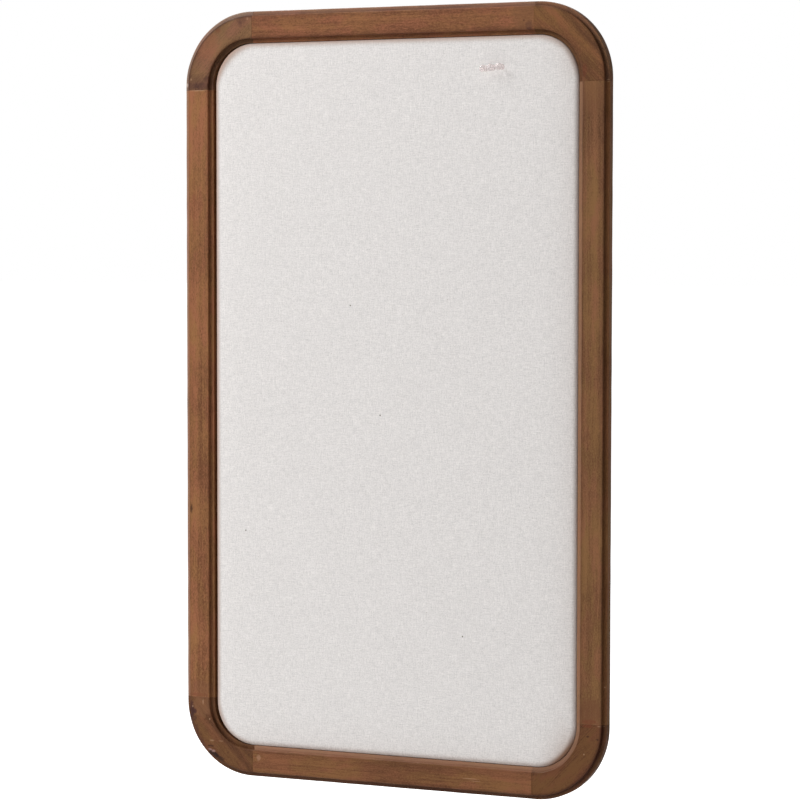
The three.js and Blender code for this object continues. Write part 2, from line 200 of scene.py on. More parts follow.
def startMaterial(name, **sockets):
    material = bpy.data.materials.new(name)
    material.use_nodes = True
    shader = material.node_tree.nodes["Principled BSDF"]
    for label, value in sockets.items():
        shader.inputs[label.replace("_", " ")].default_value = value
    return material, material.node_tree, shader


def joinSurface(tree, shader, color, roughness, height, relief, strength):
    # relief is how high the bumps stand in metres. Without a roughness the shader keeps its own.
    tree.links.new(color, shader.inputs["Base Color"])
    if roughness is not None:
        tree.links.new(roughness, shader.inputs["Roughness"])
    bump = put(tree, "ShaderNodeBump", {"Height": height, "Strength": strength, "Distance": relief})
    tree.links.new(bump.outputs["Normal"], shader.inputs["Normal"])


def objectPlace(tree):
    return tree.nodes.new("ShaderNodeTexCoord").outputs["Object"]


def maskOf(tree, name):
    return put(tree, "ShaderNodeAttribute", attribute_name=name).outputs["Fac"]


# Shader groups with named inputs and outputs. All but the weave serve several materials.


def makeGrainGroup():  # stained softwood with its grain along the vector's z
    group, source, result = startGroup(
        "stainedGrain",
        {
            "Vector": ("vector", None),
            "Golden": ("color", (0.3, 0.15, 0.08, 1)),
            "Ruddy": ("color", (0.28, 0.11, 0.06, 1)),
            "Dark": ("color", (0.12, 0.06, 0.03, 1)),
            "Ring Width": ("value", 0.003),
            "Ring Tone": ("value", 0.3),
            "Streak Tone": ("value", 0.8),
            "Blotch Tone": ("value", 1.0),
        },
        {"Color": "color", "Roughness": "value", "Height": "value"},
    )
    place = source["Vector"]
    bend = times(group, noiseOf(group, place, (0.05, 0.05, 0.3), 2), 0.024)
    wobble = times(group, noiseOf(group, place, (0.009, 0.009, 0.05), 2), 0.004)
    fromPith = calcVector(group, "LENGTH", calcVector(group, "MULTIPLY", place, (1, 1, 0)))
    fromPith = plus(group, fromPith, plus(group, bend, wobble))
    phase = calc(group, "FRACT", calc(group, "DIVIDE", fromPith, source["Ring Width"]))
    lateWood = times(group, spread(group, phase, 0.3, 0.9), spread(group, phase, 1.0, 0.92))
    shown = spread(group, noiseOf(group, place, (0.015, 0.015, 0.09), 2), 0.42, 0.64)
    ringPart = times(group, times(group, lateWood, shown), source["Ring Tone"])
    fibre = noiseOf(group, place, (0.0012, 0.0012, 0.0026), 3, 0.65)
    dash = spread(group, noiseOf(group, place, (0.0015, 0.0015, 0.005), 1), 0.7, 0.78)
    shade = calc(group, "MULTIPLY_ADD", dash, 0.3, ringPart)
    for tone, layers in (
        ("Streak Tone", (
            (fibre, 2.0),
            (noiseOf(group, place, (0.0014, 0.0014, 0.012), 3, 0.62), 1.2),
            (noiseOf(group, place, (0.003, 0.003, 0.08), 2), 0.4),
        )),
        ("Blotch Tone", (
            (noiseOf(group, place, (0.024, 0.024, 0.03), 3, 0.55), 0.45),
            (noiseOf(group, place, (0.2, 0.2, 0.14), 2), 1.3),
            (noiseOf(group, place, (0.009, 0.009, 0.6), 2), 1.2),
        )),
    ):
        for noise, share in layers:
            uneven = times(group, minus(group, noise, 0.5), share)
            shade = calc(group, "MULTIPLY_ADD", uneven, source[tone], shade)
    shade = plus(group, shade, 0.3, clamp=True)
    hue = noiseOf(group, place, (0.014, 0.014, 0.045), 3)
    base = mixColor(group, spread(group, hue, 0.4, 0.6), source["Golden"], source["Ruddy"])
    group.links.new(mixColor(group, shade, base, source["Dark"]), result["Color"])
    group.links.new(spread(group, shade, 0, 1, 0.5, 0.68), result["Roughness"])
    hollow = times(group, lateWood, 0.3)
    group.links.new(minus(group, fibre, hollow), result["Height"])
    return group


def makeWearAndShadeGroup():  # lighter rubbed arrises, and a dark colour at the wall feet, steps and rims: part stain, part painted shade
    group, source, result = startGroup(
        "edgeWearAndShade",
        {
            "Color": ("color", (0.3, 0.15, 0.08, 1)),
            "Vector": ("vector", None),
            "Arris": ("value", 0.0),
            "Recess": ("value", 0.0),
            "Rim": ("value", 0.0),
            "Rub": ("value", 0.5),
            "Rubbed": ("color", (0.4, 0.26, 0.17, 1)),
            "Stain And Shade": ("color", (0.08, 0.03, 0.012, 1)),
        },
        {"Color": "color"},
    )
    patch = noiseOf(group, source["Vector"], (0.009, 0.009, 0.009), 4, 0.6)
    bare = times(group, spread(group, patch, 0.44, 0.7, 0.1, 1.0), source["Rub"])
    rubbed = times(group, source["Arris"], bare)
    # The wall feet (Recess) and the steps and rims (Rim) take the dark colour: partly stain, partly painted
    # shade.
    stainAndShade = times(group, source["Recess"], spread(group, patch, 0.3, 0.8, 0.3, 0.1))
    stainAndShade = calc(group, "MAXIMUM", stainAndShade, source["Rim"])
    color = mixColor(group, rubbed, source["Color"], source["Rubbed"])
    group.links.new(mixColor(group, stainAndShade, color, source["Stain And Shade"]), result["Color"])
    return group


def makeSpotGroup():  # a soft ragged patch round a point
    group, source, result = startGroup(
        "stainSpot",
        {
            "Vector": ("vector", None),
            "Centre": ("vector", (0, 0, 0)),
            "Reach": ("vector", (0.01, 0.01, 0.01)),
            "Ragged": ("value", 0.5),
        },
        {"Mask": "value"},
    )
    away = calcVector(group, "SUBTRACT", source["Vector"], source["Centre"])
    distance = calcVector(group, "LENGTH", calcVector(group, "DIVIDE", away, source["Reach"]))
    noise = noiseOf(group, source["Vector"], (0.0035, 0.0035, 0.0035), 3, 0.6)
    ragged = times(group, minus(group, noise, 0.5), source["Ragged"])
    rough = plus(group, distance, times(group, ragged, 2))
    group.links.new(spread(group, rough, 1.0, 0.45), result["Mask"])
    return group


def makeWeaveGroup():  # plain weave over the cut cloth's own x and y, with slubs and small flecks
    group, source, result = startGroup(
        "plainWeave",
        {"Vector": ("vector", None), "Thread": ("value", 0.0009), "Unevenness": ("value", 1.0)},
        {"Tone": "value", "Height": "value", "Fleck": "value"},
    )
    place = source["Vector"]
    wander = noiseOf(group, place, (0.03, 0.03, 0.03), 2)
    shifted = calcVector(group, "ADD", place, put(
        group, "ShaderNodeCombineXYZ",
        {0: times(group, wander, 0.004), 1: times(group, wander, -0.003)},
    ).outputs[0])
    parts = put(group, "ShaderNodeSeparateXYZ", {0: shifted}).outputs
    lanes, rolls, slubs = [], [], []
    for here, there in ((0, 1), (1, 0)):
        lane = calc(group, "DIVIDE", parts[here], source["Thread"])
        number = calc(group, "FLOOR", lane)
        across = minus(group, times(group, calc(group, "FRACT", lane), 2), 1)
        spot = put(group, "ShaderNodeCombineXYZ", {
            0: times(group, number, 3.7),
            1: calc(group, "DIVIDE", parts[there], 0.012),
            2: 5.0 * here,
        }).outputs[0]
        noise = {"Vector": spot, "Scale": 1.0, "Detail": 2.0}
        drift = put(group, "ShaderNodeTexNoise", noise).outputs["Fac"]
        slub = spread(group, drift, 0.6, 0.82)
        flatness = minus(group, 1.05, times(group, across, across))
        girth = plus(group, times(group, drift, 0.5), times(group, slub, 0.7))
        threadRound = calc(group, "SQRT", calc(group, "MAXIMUM", flatness, 0.0))
        lanes.append(calc(group, "SINE", times(group, lane, math.pi)))
        rolls.append(times(group, threadRound, plus(group, girth, 0.45)))
        slubs.append(minus(group, drift, 0.5))
    over = times(group, times(group, lanes[0], lanes[1]), 0.4)
    first = times(group, rolls[0], plus(group, 0.6, over))
    second = times(group, rolls[1], minus(group, 0.6, over))
    height = calc(group, "MAXIMUM", first, second)
    thin = spread(group, height, 0.1, 0.55, 0.86, 1.0)
    drifts = times(group, plus(group, slubs[0], slubs[1]), source["Unevenness"])
    waver = times(group, drifts, 0.2)
    for sizes, share in (
        ((0.0018, 0.0018, 0.0018), 0.48),
        ((0.0016, 0.009, 0.0016), 0.24),
        ((0.009, 0.0016, 0.0016), 0.24),
        ((0.05, 0.07, 0.05), 0.02),
    ):
        patch = minus(group, noiseOf(group, place, sizes, 2), 0.5)
        waver = calc(group, "MULTIPLY_ADD", patch, share, waver)
    group.links.new(times(group, thin, plus(group, 1.0, waver)), result["Tone"])
    group.links.new(height, result["Height"])
    fleck = noiseOf(group, place, (0.0021, 0.0013, 0.002), 0)
    group.links.new(spread(group, fleck, 0.83, 0.87), result["Fleck"])
    return group


def makeSpeckleGroup():  # fine two-tone speckle for pressed boards, rubber and plating
    group, source, result = startGroup(
        "speckle",
        {
            "Vector": ("vector", None),
            "Base": ("color", (0.3, 0.2, 0.1, 1)),
            "Fleck": ("color", (0.2, 0.12, 0.06, 1)),
            "Grain": ("value", 0.001),
        },
        {"Color": "color", "Height": "value", "Cloud": "value"},
    )
    scaled = calcVector(group, "DIVIDE", source["Vector"], put(
        group, "ShaderNodeCombineXYZ", {0: source["Grain"], 1: source["Grain"], 2: source["Grain"]},
    ).outputs[0])
    fine = put(group, "ShaderNodeTexNoise", {"Vector": scaled, "Scale": 1.0, "Detail": 4.0}).outputs["Fac"]
    wide = put(group, "ShaderNodeTexNoise", {"Vector": scaled, "Scale": 0.03, "Detail": 3.0}).outputs["Fac"]
    cloud = times(group, minus(group, wide, 0.5), 0.45)
    factor = plus(group, spread(group, fine, 0.35, 0.7), cloud, clamp=True)
    group.links.new(mixColor(group, factor, source["Base"], source["Fleck"]), result["Color"])
    group.links.new(fine, result["Height"])
    group.links.new(wide, result["Cloud"])
    return group


print("building the shader groups")
grainGroup = makeGrainGroup()
wearAndShadeGroup = makeWearAndShadeGroup()
spotGroup = makeSpotGroup()
weaveGroup = makeWeaveGroup()
speckleGroup = makeSpeckleGroup()

# The wood of each frame piece. tone is its middle colour, and grainTurn lays the grain: 0 upright,
# -90 level, 45 or -45 across a corner. pith shifts the year rings and ringTone is how dark they are.
# rub is how far the arrises are rubbed bare. outerStep is a painted shadow on the band's outer wall and the
# lip at its foot, and innerWall one on its inner wall. outerRim and innerRim darken the band's two edges,
# partly stain and partly painted shade. outerLip and innerLip tint the lips with a colour and its strength:
# painted shade on lips that lie in the band's shadow, painted light on lips that face the lamp. A mark
# is x, z, half width and half height in millimetres, a colour and its strength.
inkStain = tint(62, 32, 30)
# light specks at joints, arrises and scratches: partly wear, partly painted highlight
wearAndGlintSpot = tint(196, 156, 122)
# painted shade: a deep amber for the right rail's outer lip, which lies in the band's shadow
amberLipShade = tint(118, 66, 18)
# painted shadow in the hollow of a nick in the bottom left corner
nickHollowShadow = tint(30, 13, 10)
# painted highlight on the rim of that nick
nickRimHighlight = tint(164, 130, 122)
redStain = tint(116, 56, 34)
# a dark stain for knots and dark marks, and painted shade on the lips that lie in the band's shadow
darkMarkAndShade = tint(56, 28, 14)
ruddyWood = tint(150, 92, 64)
oliveWood = tint(120, 86, 54)
# painted sheen: a pale grey on the outer lips that face the lamp
litLipSheen = tint(156, 134, 122)
# scraped wood for one mark, and painted light on the inner lips that face the lamp
scrapedAndLitWood = tint(184, 142, 116)
brownWood = tint(122, 78, 54)
duskyWood = tint(120, 78, 50)
deepWood = tint(110, 68, 44)
shadedWood = tint(118, 78, 50)
paleWood = tint(136, 94, 64)
# painted highlight on the top left corner's outer lip
lipHighlight = tint(226, 206, 192)
woods = dict(
    left_rail=dict(
        tone=tint(141, 94, 60), grainTurn=0, pith=(0.09, 0.03), ringTone=0.16,
        rub=0.1, outerStep=0, outerRim=0.3, innerRim=0, innerWall=0.06,
        outerLip=(litLipSheen, 0.42), innerLip=(darkMarkAndShade, 0.05),
        marks=[
            (-296.3, -151.8, 2.6, 8, darkMarkAndShade, 0.75),
            (-291, 250, 3, 60, redStain, 0.2),
            (-284.5, 405.4, 16, 0.8, wearAndGlintSpot, 0.5),
            (-285, -396, 24, 16, brownWood, 0.45),
            (-285, -402.8, 16, 3.2, redStain, 0.3),
        ],
    ),
    right_rail=dict(
        tone=tint(124, 86, 54), grainTurn=0, pith=(-0.07, 0.04), ringTone=0.22,
        rub=0.1, outerStep=0.2, outerRim=0.25, innerRim=0.45, innerWall=0,
        outerLip=(amberLipShade, 0.3), innerLip=(scrapedAndLitWood, 0.34),
        marks=[
            (302.3, -357.7, 1.2, 1.5, wearAndGlintSpot, 0.8),
            (302.8, 404.8, 2.4, 0.8, wearAndGlintSpot, 0.6),
            (284, 386, 24, 28, duskyWood, 0.55),
            (284, -390, 24, 24, deepWood, 0.6),
            (282, -403, 12, 4.5, redStain, 0.45),
        ],
    ),
    top_rail=dict(
        tone=tint(139, 90, 58), grainTurn=-90, pith=(0.02, 0.11), ringTone=0.2,
        rub=0.15, outerStep=0, outerRim=0.2, innerRim=0.35, innerWall=0.1,
        outerLip=(litLipSheen, 0.26), innerLip=(darkMarkAndShade, 0.12),
        marks=[
            (190, 490, 24, 26, shadedWood, 0.5),
            (196, 479, 6.5, 8, inkStain, 0.35),
            (196, 474, 5, 1.8, inkStain, 0.5),
            (189, 484, 2.2, 2, darkMarkAndShade, 0.5),
        ],
    ),
    bottom_rail=dict(
        tone=tint(123, 81, 50), grainTurn=-90, pith=(0.05, -0.08), ringTone=0.3,
        rub=0.1, outerStep=0.1, outerRim=0.25, innerRim=0.35, innerWall=0,
        outerLip=(darkMarkAndShade, 0.68), innerLip=(scrapedAndLitWood, 0.5),
        marks=[
            (117, -487.3, 14, 0.7, wearAndGlintSpot, 0.35),
            (124, -490, 9, 0.6, wearAndGlintSpot, 0.3),
            (-194, -482, 4, 5, scrapedAndLitWood, 0.35),
            (-160, -474.5, 48, 0.6, darkMarkAndShade, 0.4),
            (195.5, -473.5, 6, 0.7, darkMarkAndShade, 0.55),
        ],
    ),
    corner_top_left=dict(
        tone=tint(122, 86, 59), grainTurn=-45, pith=(0.05, 0.06), ringTone=0.14,
        rub=0.1, outerStep=0.1, outerRim=0.85, innerRim=0.25, innerWall=0.5,
        outerLip=(litLipSheen, 0.5), innerLip=(darkMarkAndShade, 0.5),
        marks=[
            (-272, 466, 26, 26, ruddyWood, 0.4),
            (-250, 487, 14, 12, oliveWood, 0.45),
            (-293, 438, 10, 16, oliveWood, 0.5),
            (-300.5, 441, 3, 32, inkStain, 0.3),
            (-284, 417, 26, 13, inkStain, 0.3),
            (-294, 411.2, 14, 7, inkStain, 0.4),
            (-279, 411.2, 14, 7, inkStain, 0.45),
            (-270.5, 420, 5, 6, inkStain, 0.25),
            (-254, 484, 5, 4, redStain, 0.4),
            (-218, 496.5, 10, 7, inkStain, 0.35),
            (-220, 491.5, 4, 6, inkStain, 0.35),
            (-219.7, 480.5, 1.5, 1.5, darkMarkAndShade, 0.6),
            (-209.4, 498.5, 1.6, 3, wearAndGlintSpot, 0.35),
            (-303, 413.2, 2.4, 3.6, lipHighlight, 0.8),
            (-295, 420.5, 1.4, 1.8, wearAndGlintSpot, 0.35),
        ],
    ),
    corner_top_right=dict(
        tone=tint(122, 81, 47), grainTurn=45, pith=(-0.04, 0.07), ringTone=0.16,
        rub=0.1, outerStep=0.45, outerRim=0.35, innerRim=0.35, innerWall=0.2,
        outerLip=(litLipSheen, 0.1), innerLip=(darkMarkAndShade, 0.3),
        marks=[
            (272.5, 420, 4, 12, redStain, 0.4),
            (302.8, 407.4, 2.4, 0.9, wearAndGlintSpot, 0.6),
            (290.5, 407.6, 4.5, 0.6, darkMarkAndShade, 0.4),
        ],
    ),
    corner_bottom_left=dict(
        tone=tint(109, 71, 42), grainTurn=45, pith=(0.06, -0.05), ringTone=0.16,
        rub=0.1, outerStep=0.2, outerRim=0.45, innerRim=0.2, innerWall=0.2,
        outerLip=(darkMarkAndShade, 0.35), innerLip=(darkMarkAndShade, 0.18),
        marks=[
            (-282, -418, 24, 18, paleWood, 0.5),
            (-297, -427, 6.4, 19, inkStain, 0.9),
            (-291.5, -425, 3.8, 4.4, inkStain, 0.8),
            (-291, -435, 3.2, 5, inkStain, 0.5),
            (-288.5, -455, 3.6, 18, inkStain, 0.4),
            (-281, -470, 5, 9, inkStain, 0.35),
            (-267, -471, 6, 1.8, darkMarkAndShade, 0.75),
            (-268, -480, 7.5, 5, nickHollowShadow, 0.9),
            (-261, -483.5, 8, 6, nickHollowShadow, 0.95),
            (-253, -488, 8, 4.8, nickHollowShadow, 0.6),
            (-269, -475.8, 4.6, 1.9, nickRimHighlight, 0.8),
            (-263, -477.6, 3.6, 2.2, nickRimHighlight, 0.7),
            (-265, -463.6, 4, 1.5, wearAndGlintSpot, 0.3),
            (-252, -463.6, 4, 1.5, wearAndGlintSpot, 0.2),
            (-279, -412, 1.6, 4.4, wearAndGlintSpot, 0.3),
            (-268.9, -435, 1.5, 1.5, wearAndGlintSpot, 0.5),
            (-295, -419, 1.5, 1.8, wearAndGlintSpot, 0.4),
        ],
    ),
    corner_bottom_right=dict(
        tone=tint(101, 64, 36), grainTurn=-45, pith=(-0.05, -0.06), ringTone=0.6, ringWidth=0.0027,
        rub=0.05, outerStep=0.9, outerRim=0.65, innerRim=0.35, innerWall=0.1,
        outerLip=(darkMarkAndShade, 0.1), innerLip=(scrapedAndLitWood, 0.45),
        marks=[
            (281, -408, 10, 2.8, redStain, 0.5),
            (281, -421.4, 2.6, 1.9, darkMarkAndShade, 0.75),
            (294.4, -424.5, 2, 1.8, darkMarkAndShade, 0.7),
            (298.6, -407.6, 6.6, 0.8, wearAndGlintSpot, 0.6),
            (275.9, -444.7, 1, 1.5, wearAndGlintSpot, 0.6),
        ],
    ),
)

# What all the frame's woods share: the grain's three colours as shares of the tone, the rings and streaks,
# the relief and how deep a mark goes, in metres, and the colours of rubbed wood and of the dark colour at
# the band's wall feet, steps and rims, which is partly stain and partly painted shade
woodFinish = dict(
    golden=(1.18, 1.24, 1.12), ruddy=(1.25, 1.14, 1.26), dark=(0.5, 0.44, 0.4),
    ringWidth=0.0042, streakTone=1.0, blotchTone=1.15, relief=0.0001, reliefStrength=0.3,
    markDepth=0.02, specular=0.2, rubbed=tint(172, 132, 100), stainAndShade=tint(58, 22, 4),
)


def shadeOf(tone, shares):  # a colour with its red, green and blue scaled
    return (*(np.array(tone[:3]) * shares).tolist(), 1.0)


def makeWood(name, wood):
    material, tree, shader = startMaterial(f"stained_{name}", Specular_IOR_Level=woodFinish["specular"])
    place = objectPlace(tree)
    grainPlace = put(tree, "ShaderNodeMapping", {
        "Vector": place,
        "Location": (*wood["pith"], 0.0),
        "Rotation": (0, math.radians(wood["grainTurn"]), 0),
    }).outputs[0]
    grain = useGroup(tree, grainGroup, {
        "Vector": grainPlace,
        "Golden": shadeOf(wood["tone"], woodFinish["golden"]),
        "Ruddy": shadeOf(wood["tone"], woodFinish["ruddy"]),
        "Dark": shadeOf(wood["tone"], woodFinish["dark"]),
        "Ring Width": wood.get("ringWidth", woodFinish["ringWidth"]),
        "Ring Tone": wood["ringTone"],
        "Streak Tone": woodFinish["streakTone"],
        "Blotch Tone": woodFinish["blotchTone"],
    })
    color = grain["Color"]
    for x, z, halfX, halfZ, stain, strength in wood["marks"]:
        mask = useGroup(tree, spotGroup, {
            "Vector": place,
            "Centre": (x / 1000, -board["depth"], z / 1000),
            "Reach": (halfX / 1000, woodFinish["markDepth"], halfZ / 1000),
        })["Mask"]
        color = mixColor(tree, times(tree, mask, strength), color, stain)
    # each lip takes painted shade where the band shades it, and painted light or sheen where it faces the
    # lamp
    for lip in ("outerLip", "innerLip"):
        stain, strength = wood[lip]
        color = mixColor(tree, times(tree, maskOf(tree, lip), strength), color, stain)
    # painted shadow on the band's outer step and inner wall, and stain with painted shade along its rims
    rimStainAndShade = 0.0
    for area in ("outerStep", "outerRim", "innerRim", "innerWall"):
        rimStainAndShade = calc(tree, "MAXIMUM", times(tree, maskOf(tree, area), wood[area]), rimStainAndShade)
    color = useGroup(tree, wearAndShadeGroup, {
        "Color": color, "Vector": place, "Arris": maskOf(tree, "arris"), "Recess": maskOf(tree, "recess"),
        "Rim": rimStainAndShade, "Rub": wood["rub"],
        "Rubbed": woodFinish["rubbed"], "Stain And Shade": woodFinish["stainAndShade"],
    })["Color"]
    joinSurface(
        tree, shader, color, grain["Roughness"], grain["Height"],
        woodFinish["relief"], woodFinish["reliefStrength"],
    )
    return material


# The cloth: its threads and colours, the painted shade with some soil along its edge in a near and a wide
# band, its seeds as x and z in millimetres, the pad's rolled edge and crown in metres, the rows of its
# surface, and its pulls, swells and pleats
linen = dict(
    thread=0.00095, unevenness=1.0, relief=0.00022, reliefStrength=0.5,
    cloth=tint(231, 227, 225), fleck=tint(150, 132, 112), fleckShare=0.55, seed=tint(96, 86, 80),
    # painted shade with some soil along the cloth's edge: its colour, then the near band's share, lean and
    # reach
    edgeShadeAndSoil=tint(150, 114, 92), nearBandShare=0.5, nearBandLean=0.36, nearBandReach=0.0066,
    wideBand=0.07, wideBandLean=0.11, wideBandReach=0.018, wideBandTilt=0.7, lightRise=0.5,
    cornerReach=0.7, cornerNearBand=0.4, cornerWideBand=0.48,
    seeds=[(105, -303.4), (-213.6, -178.3), (-13.9, -20.4), (-57.5, 122.0)], seedReach=0.0013,
    thickness=0.0008, hemWidth=0.025, hemEdge=0.0012, rollWidth=0.007, rollHeight=0.0032,
    crown=0.001, crownPower=12, poleShare=0.012, frontReach=0.006,
    sideStep=0.011, arcSteps=18, domeRows=40, domeSpacing=1.7,
    rollRows=14, wallRows=3, turnRows=4, hemRows=5,
    pullPitch=0.036, pullDepth=0.00016, pullReach=0.02, swell=0.0001,
    pleats=11, pleatDepth=0.00015, pleatReach=0.006,
)


def makeLinen():
    material, tree, shader = startMaterial(
        "woven_linen", Roughness=0.92, Sheen_Weight=0.12, Sheen_Roughness=0.6, Specular_IOR_Level=0.25,
    )
    place = put(tree, "ShaderNodeAttribute", attribute_name="cut").outputs["Vector"]
    weave = useGroup(tree, weaveGroup, {
        "Vector": place, "Thread": linen["thread"], "Unevenness": linen["unevenness"],
    })
    grey = put(tree, "ShaderNodeCombineColor", dict.fromkeys((0, 1, 2), weave["Tone"]))
    color = mixColor(tree, 1.0, linen["cloth"], grey.outputs[0], "MULTIPLY")
    fleck = times(tree, weave["Fleck"], linen["fleckShare"])
    color = mixColor(tree, fleck, color, linen["fleck"])
    for x, z in linen["seeds"]:
        reach = (linen["seedReach"], linen["seedReach"], 1)
        spot = useGroup(tree, spotGroup, {
            "Vector": place, "Centre": (x / 1000, z / 1000, 0), "Reach": reach, "Ragged": 0.2,
        })["Mask"]
        color = mixColor(tree, spot, color, linen["seed"])
    # painted shade with some soil along the pad's edge, where the frame shades the cloth
    color = mixColor(tree, maskOf(tree, "edgeShadeAndSoil"), color, linen["edgeShadeAndSoil"])
    joinSurface(tree, shader, color, None, weave["Height"], linen["relief"], linen["reliefStrength"])
    return material


def makeSpeckled(name, base, fleck, grain, relief, **sockets):
    material, tree, shader = startMaterial(name, **sockets)
    made = useGroup(tree, speckleGroup, {
        "Vector": objectPlace(tree), "Base": base, "Fleck": fleck, "Grain": grain,
    })
    roughness = shader.inputs["Roughness"].default_value
    rough = spread(tree, made["Cloud"], 0.3, 0.7, roughness * 0.85, roughness * 1.15)
    joinSurface(tree, shader, made["Color"], rough, made["Height"], relief, 0.5)
    return material


def makeBeech():  # the dowels' plain wood
    material, tree, shader = startMaterial("turned_beech")
    made = useGroup(tree, grainGroup, {
        "Vector": objectPlace(tree), "Golden": tint(216, 184, 146), "Ruddy": tint(208, 168, 128),
        "Dark": tint(168, 130, 90), "Ring Width": 0.0022, "Ring Tone": 0.25,
        "Streak Tone": 0.5, "Blotch Tone": 0.4,
    })
    joinSurface(tree, shader, made["Color"], made["Roughness"], made["Height"], 0.0001, 0.3)
    return material


def makeClearPlastic():  # its shadow is pale, because most of the light goes through
    material = makeSpeckled(
        "clear_plastic", tint(240, 233, 232), tint(230, 223, 222), 0.004, 0.00001,
        Roughness=0.04, IOR=1.42, Transmission_Weight=0.72,
    )
    tree = material.node_tree
    inShadow = tree.nodes.new("ShaderNodeLightPath").outputs["Is Shadow Ray"]
    kept = minus(tree, 1.0, times(tree, inShadow, 0.75))
    tree.links.new(kept, tree.nodes["Principled BSDF"].inputs["Alpha"])
    return material


# The plain materials: a name, the speckle's two colours, its grain and relief in metres, and the finish
speckled = dict(
    batting=(
        "soft_batting", (246, 244, 240), (226, 222, 216), 0.0016, 0.0004,
        dict(Roughness=0.95, Sheen_Weight=0.2),
    ),
    softboard=("soft_fibreboard", (176, 146, 108), (142, 112, 78), 0.0014, 0.0003, dict(Roughness=0.92)),
    hardboard=("pressed_hardboard", (146, 112, 78), (118, 86, 56), 0.0011, 0.00008, dict(Roughness=0.62)),
    plated=(
        "zinc_plating", (206, 204, 198), (176, 176, 174), 0.0009, 0.00002,
        dict(Roughness=0.34, Metallic=1.0),
    ),
    needle=(
        "polished_needle", (214, 214, 214), (196, 196, 198), 0.0006, 0.00001,
        dict(Roughness=0.18, Metallic=1.0),
    ),
    rubber=("bumper_rubber", (44, 43, 42), (58, 56, 54), 0.0007, 0.00006, dict(Roughness=0.82)),
)

print("making the materials")
materials = {name: makeWood(name, wood) for name, wood in woods.items()}
materials["linen"] = makeLinen()
materials["beech"] = makeBeech()
for label, (name, base, fleck, grain, relief, finish) in speckled.items():
    materials[label] = makeSpeckled(name, tint(*base), tint(*fleck), grain, relief, **finish)
materials["clear"] = makeClearPlastic()


# Surface helpers


def unit(vector):
    return vector / np.linalg.norm(vector, axis=-1, keepdims=True)


def ripple(along, seed, longest, waves=5):
    # A smooth unevenness of about -1 to 1: the mean of sines whose lengths fall from the longest, x 1.6.
    phases = np.random.default_rng(seed).uniform(0, 2 * np.pi, waves)
    lengths = longest / np.linspace(1, 3.7, waves)
    return 1.6 * np.sin(2 * np.pi * np.asarray(along)[..., None] / lengths + phases).mean(-1)


def gridFaces(rows, columns, loop):
    # One quad for each cell of a grid that closes on itself along its columns and, in a loop, its rows.
    row, column = np.meshgrid(np.arange(rows if loop else rows - 1), np.arange(columns), indexing="ij")
    here, there = row * columns, (row + 1) % rows * columns
    after = (column + 1) % columns
    return np.stack([here + column, here + after, there + after, there + column], -1).reshape(-1, 4)


def makePiece(name, grid, ends="flat", smoothAngle=32.0, masks=None):
    # grid is rows x columns x 3. ends says how the first and last row close: flat, poles (a fan of
    # triangles to the row's mean) or loop. Edges that turn by more than smoothAngle degrees stay sharp.
    rows, columns, _ = grid.shape
    points = grid.reshape(-1, 3)
    faces = gridFaces(rows, columns, ends == "loop").tolist()
    count, last = rows * columns, (rows - 1) * columns
    masks = {label: np.asarray(values).reshape(count, -1) for label, values in (masks or {}).items()}
    if ends == "flat":
        faces += [list(range(columns))[::-1], list(range(last, last + columns))]
    if ends == "poles":
        points = np.vstack([points, grid[0].mean(0), grid[-1].mean(0)])
        masks = {label: np.vstack([v, v[:columns].mean(0), v[last:].mean(0)]) for label, v in masks.items()}
        here = np.arange(columns)
        there = (here + 1) % columns
        first = np.stack([there, here, np.full(columns, count)], -1)
        final = np.stack([last + here, last + there, np.full(columns, count + 1)], -1)
        faces += first.tolist() + final.tolist()
    mesh = bpy.data.meshes.new(name)
    mesh.from_pydata(points.tolist(), [], faces)
    mesh.update()
    mesh.calc_loop_triangles()
    corners = np.zeros(len(mesh.loop_triangles) * 3, np.int32)
    mesh.loop_triangles.foreach_get("vertices", corners)
    a, b, c = points[corners].reshape(-1, 3, 3).transpose(1, 0, 2)
    if (a * np.cross(b, c)).sum() < 0:
        mesh.flip_normals()
    mesh.polygons.foreach_set("use_smooth", np.ones(len(mesh.polygons), bool))
    mesh.set_sharp_from_angle(angle=math.radians(smoothAngle))
    for label, values in masks.items():
        kind, key = ("FLOAT", "value") if values.shape[1] == 1 else ("FLOAT_VECTOR", "vector")
        mesh.attributes.new(label, kind, "POINT").data.foreach_set(key, values.astype(np.float32).ravel())
    piece = bpy.data.objects.new(name, mesh)
    bpy.context.scene.collection.objects.link(piece)
    return piece


def dress(piece, material, node, body="board"):
    piece.data.materials.append(materials[material])
    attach(piece, body)
    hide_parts(node)
    return piece


def turnedGrid(profile, start, direction, sides, flute=0.0, flutes=0):
    # A point is the start + distance x direction + radius x (cosine and sine of its turn). Rows are the
    # profile's points (radius, distance). Flutes take off a share of the radius that waves with the turn.
    radius, along = np.array(profile, float).T
    turn = np.linspace(0, 2 * np.pi, sides, endpoint=False)
    direction = np.array(direction, float)
    sideways = unit(np.cross(direction, np.roll(direction, 1)))
    upright = np.cross(direction, sideways)
    ring = np.cos(turn)[:, None] * sideways + np.sin(turn)[:, None] * upright
    width = radius[:, None] * (1 - flute * (0.5 + 0.5 * np.cos(turn * flutes)))
    return np.array(start) + along[:, None, None] * direction + width[:, :, None] * ring


# The frame's rails and corner blocks: one section carried along a line or round a quarter turn
section = dict(
    outerLip=0.0055, band=0.03, lipDepth=0.0115, rabbet=0.009,
    arris=0.0012, innerArris=0.0006, foot=0.0003, roundSteps=5, spacing=0.0024,
    railStep=0.011, cornerStep=0.0022, jointEase=0.00022, jointStain=0.15, endFade=0.012,
    arrisVariation=0.3, variationLength=0.16, faceSag=0.00007, sagLength=0.21,
    arrisReach=0.0013, recessReach=0.0013, rimReach=0.0028, stepReach=0.0022,
)


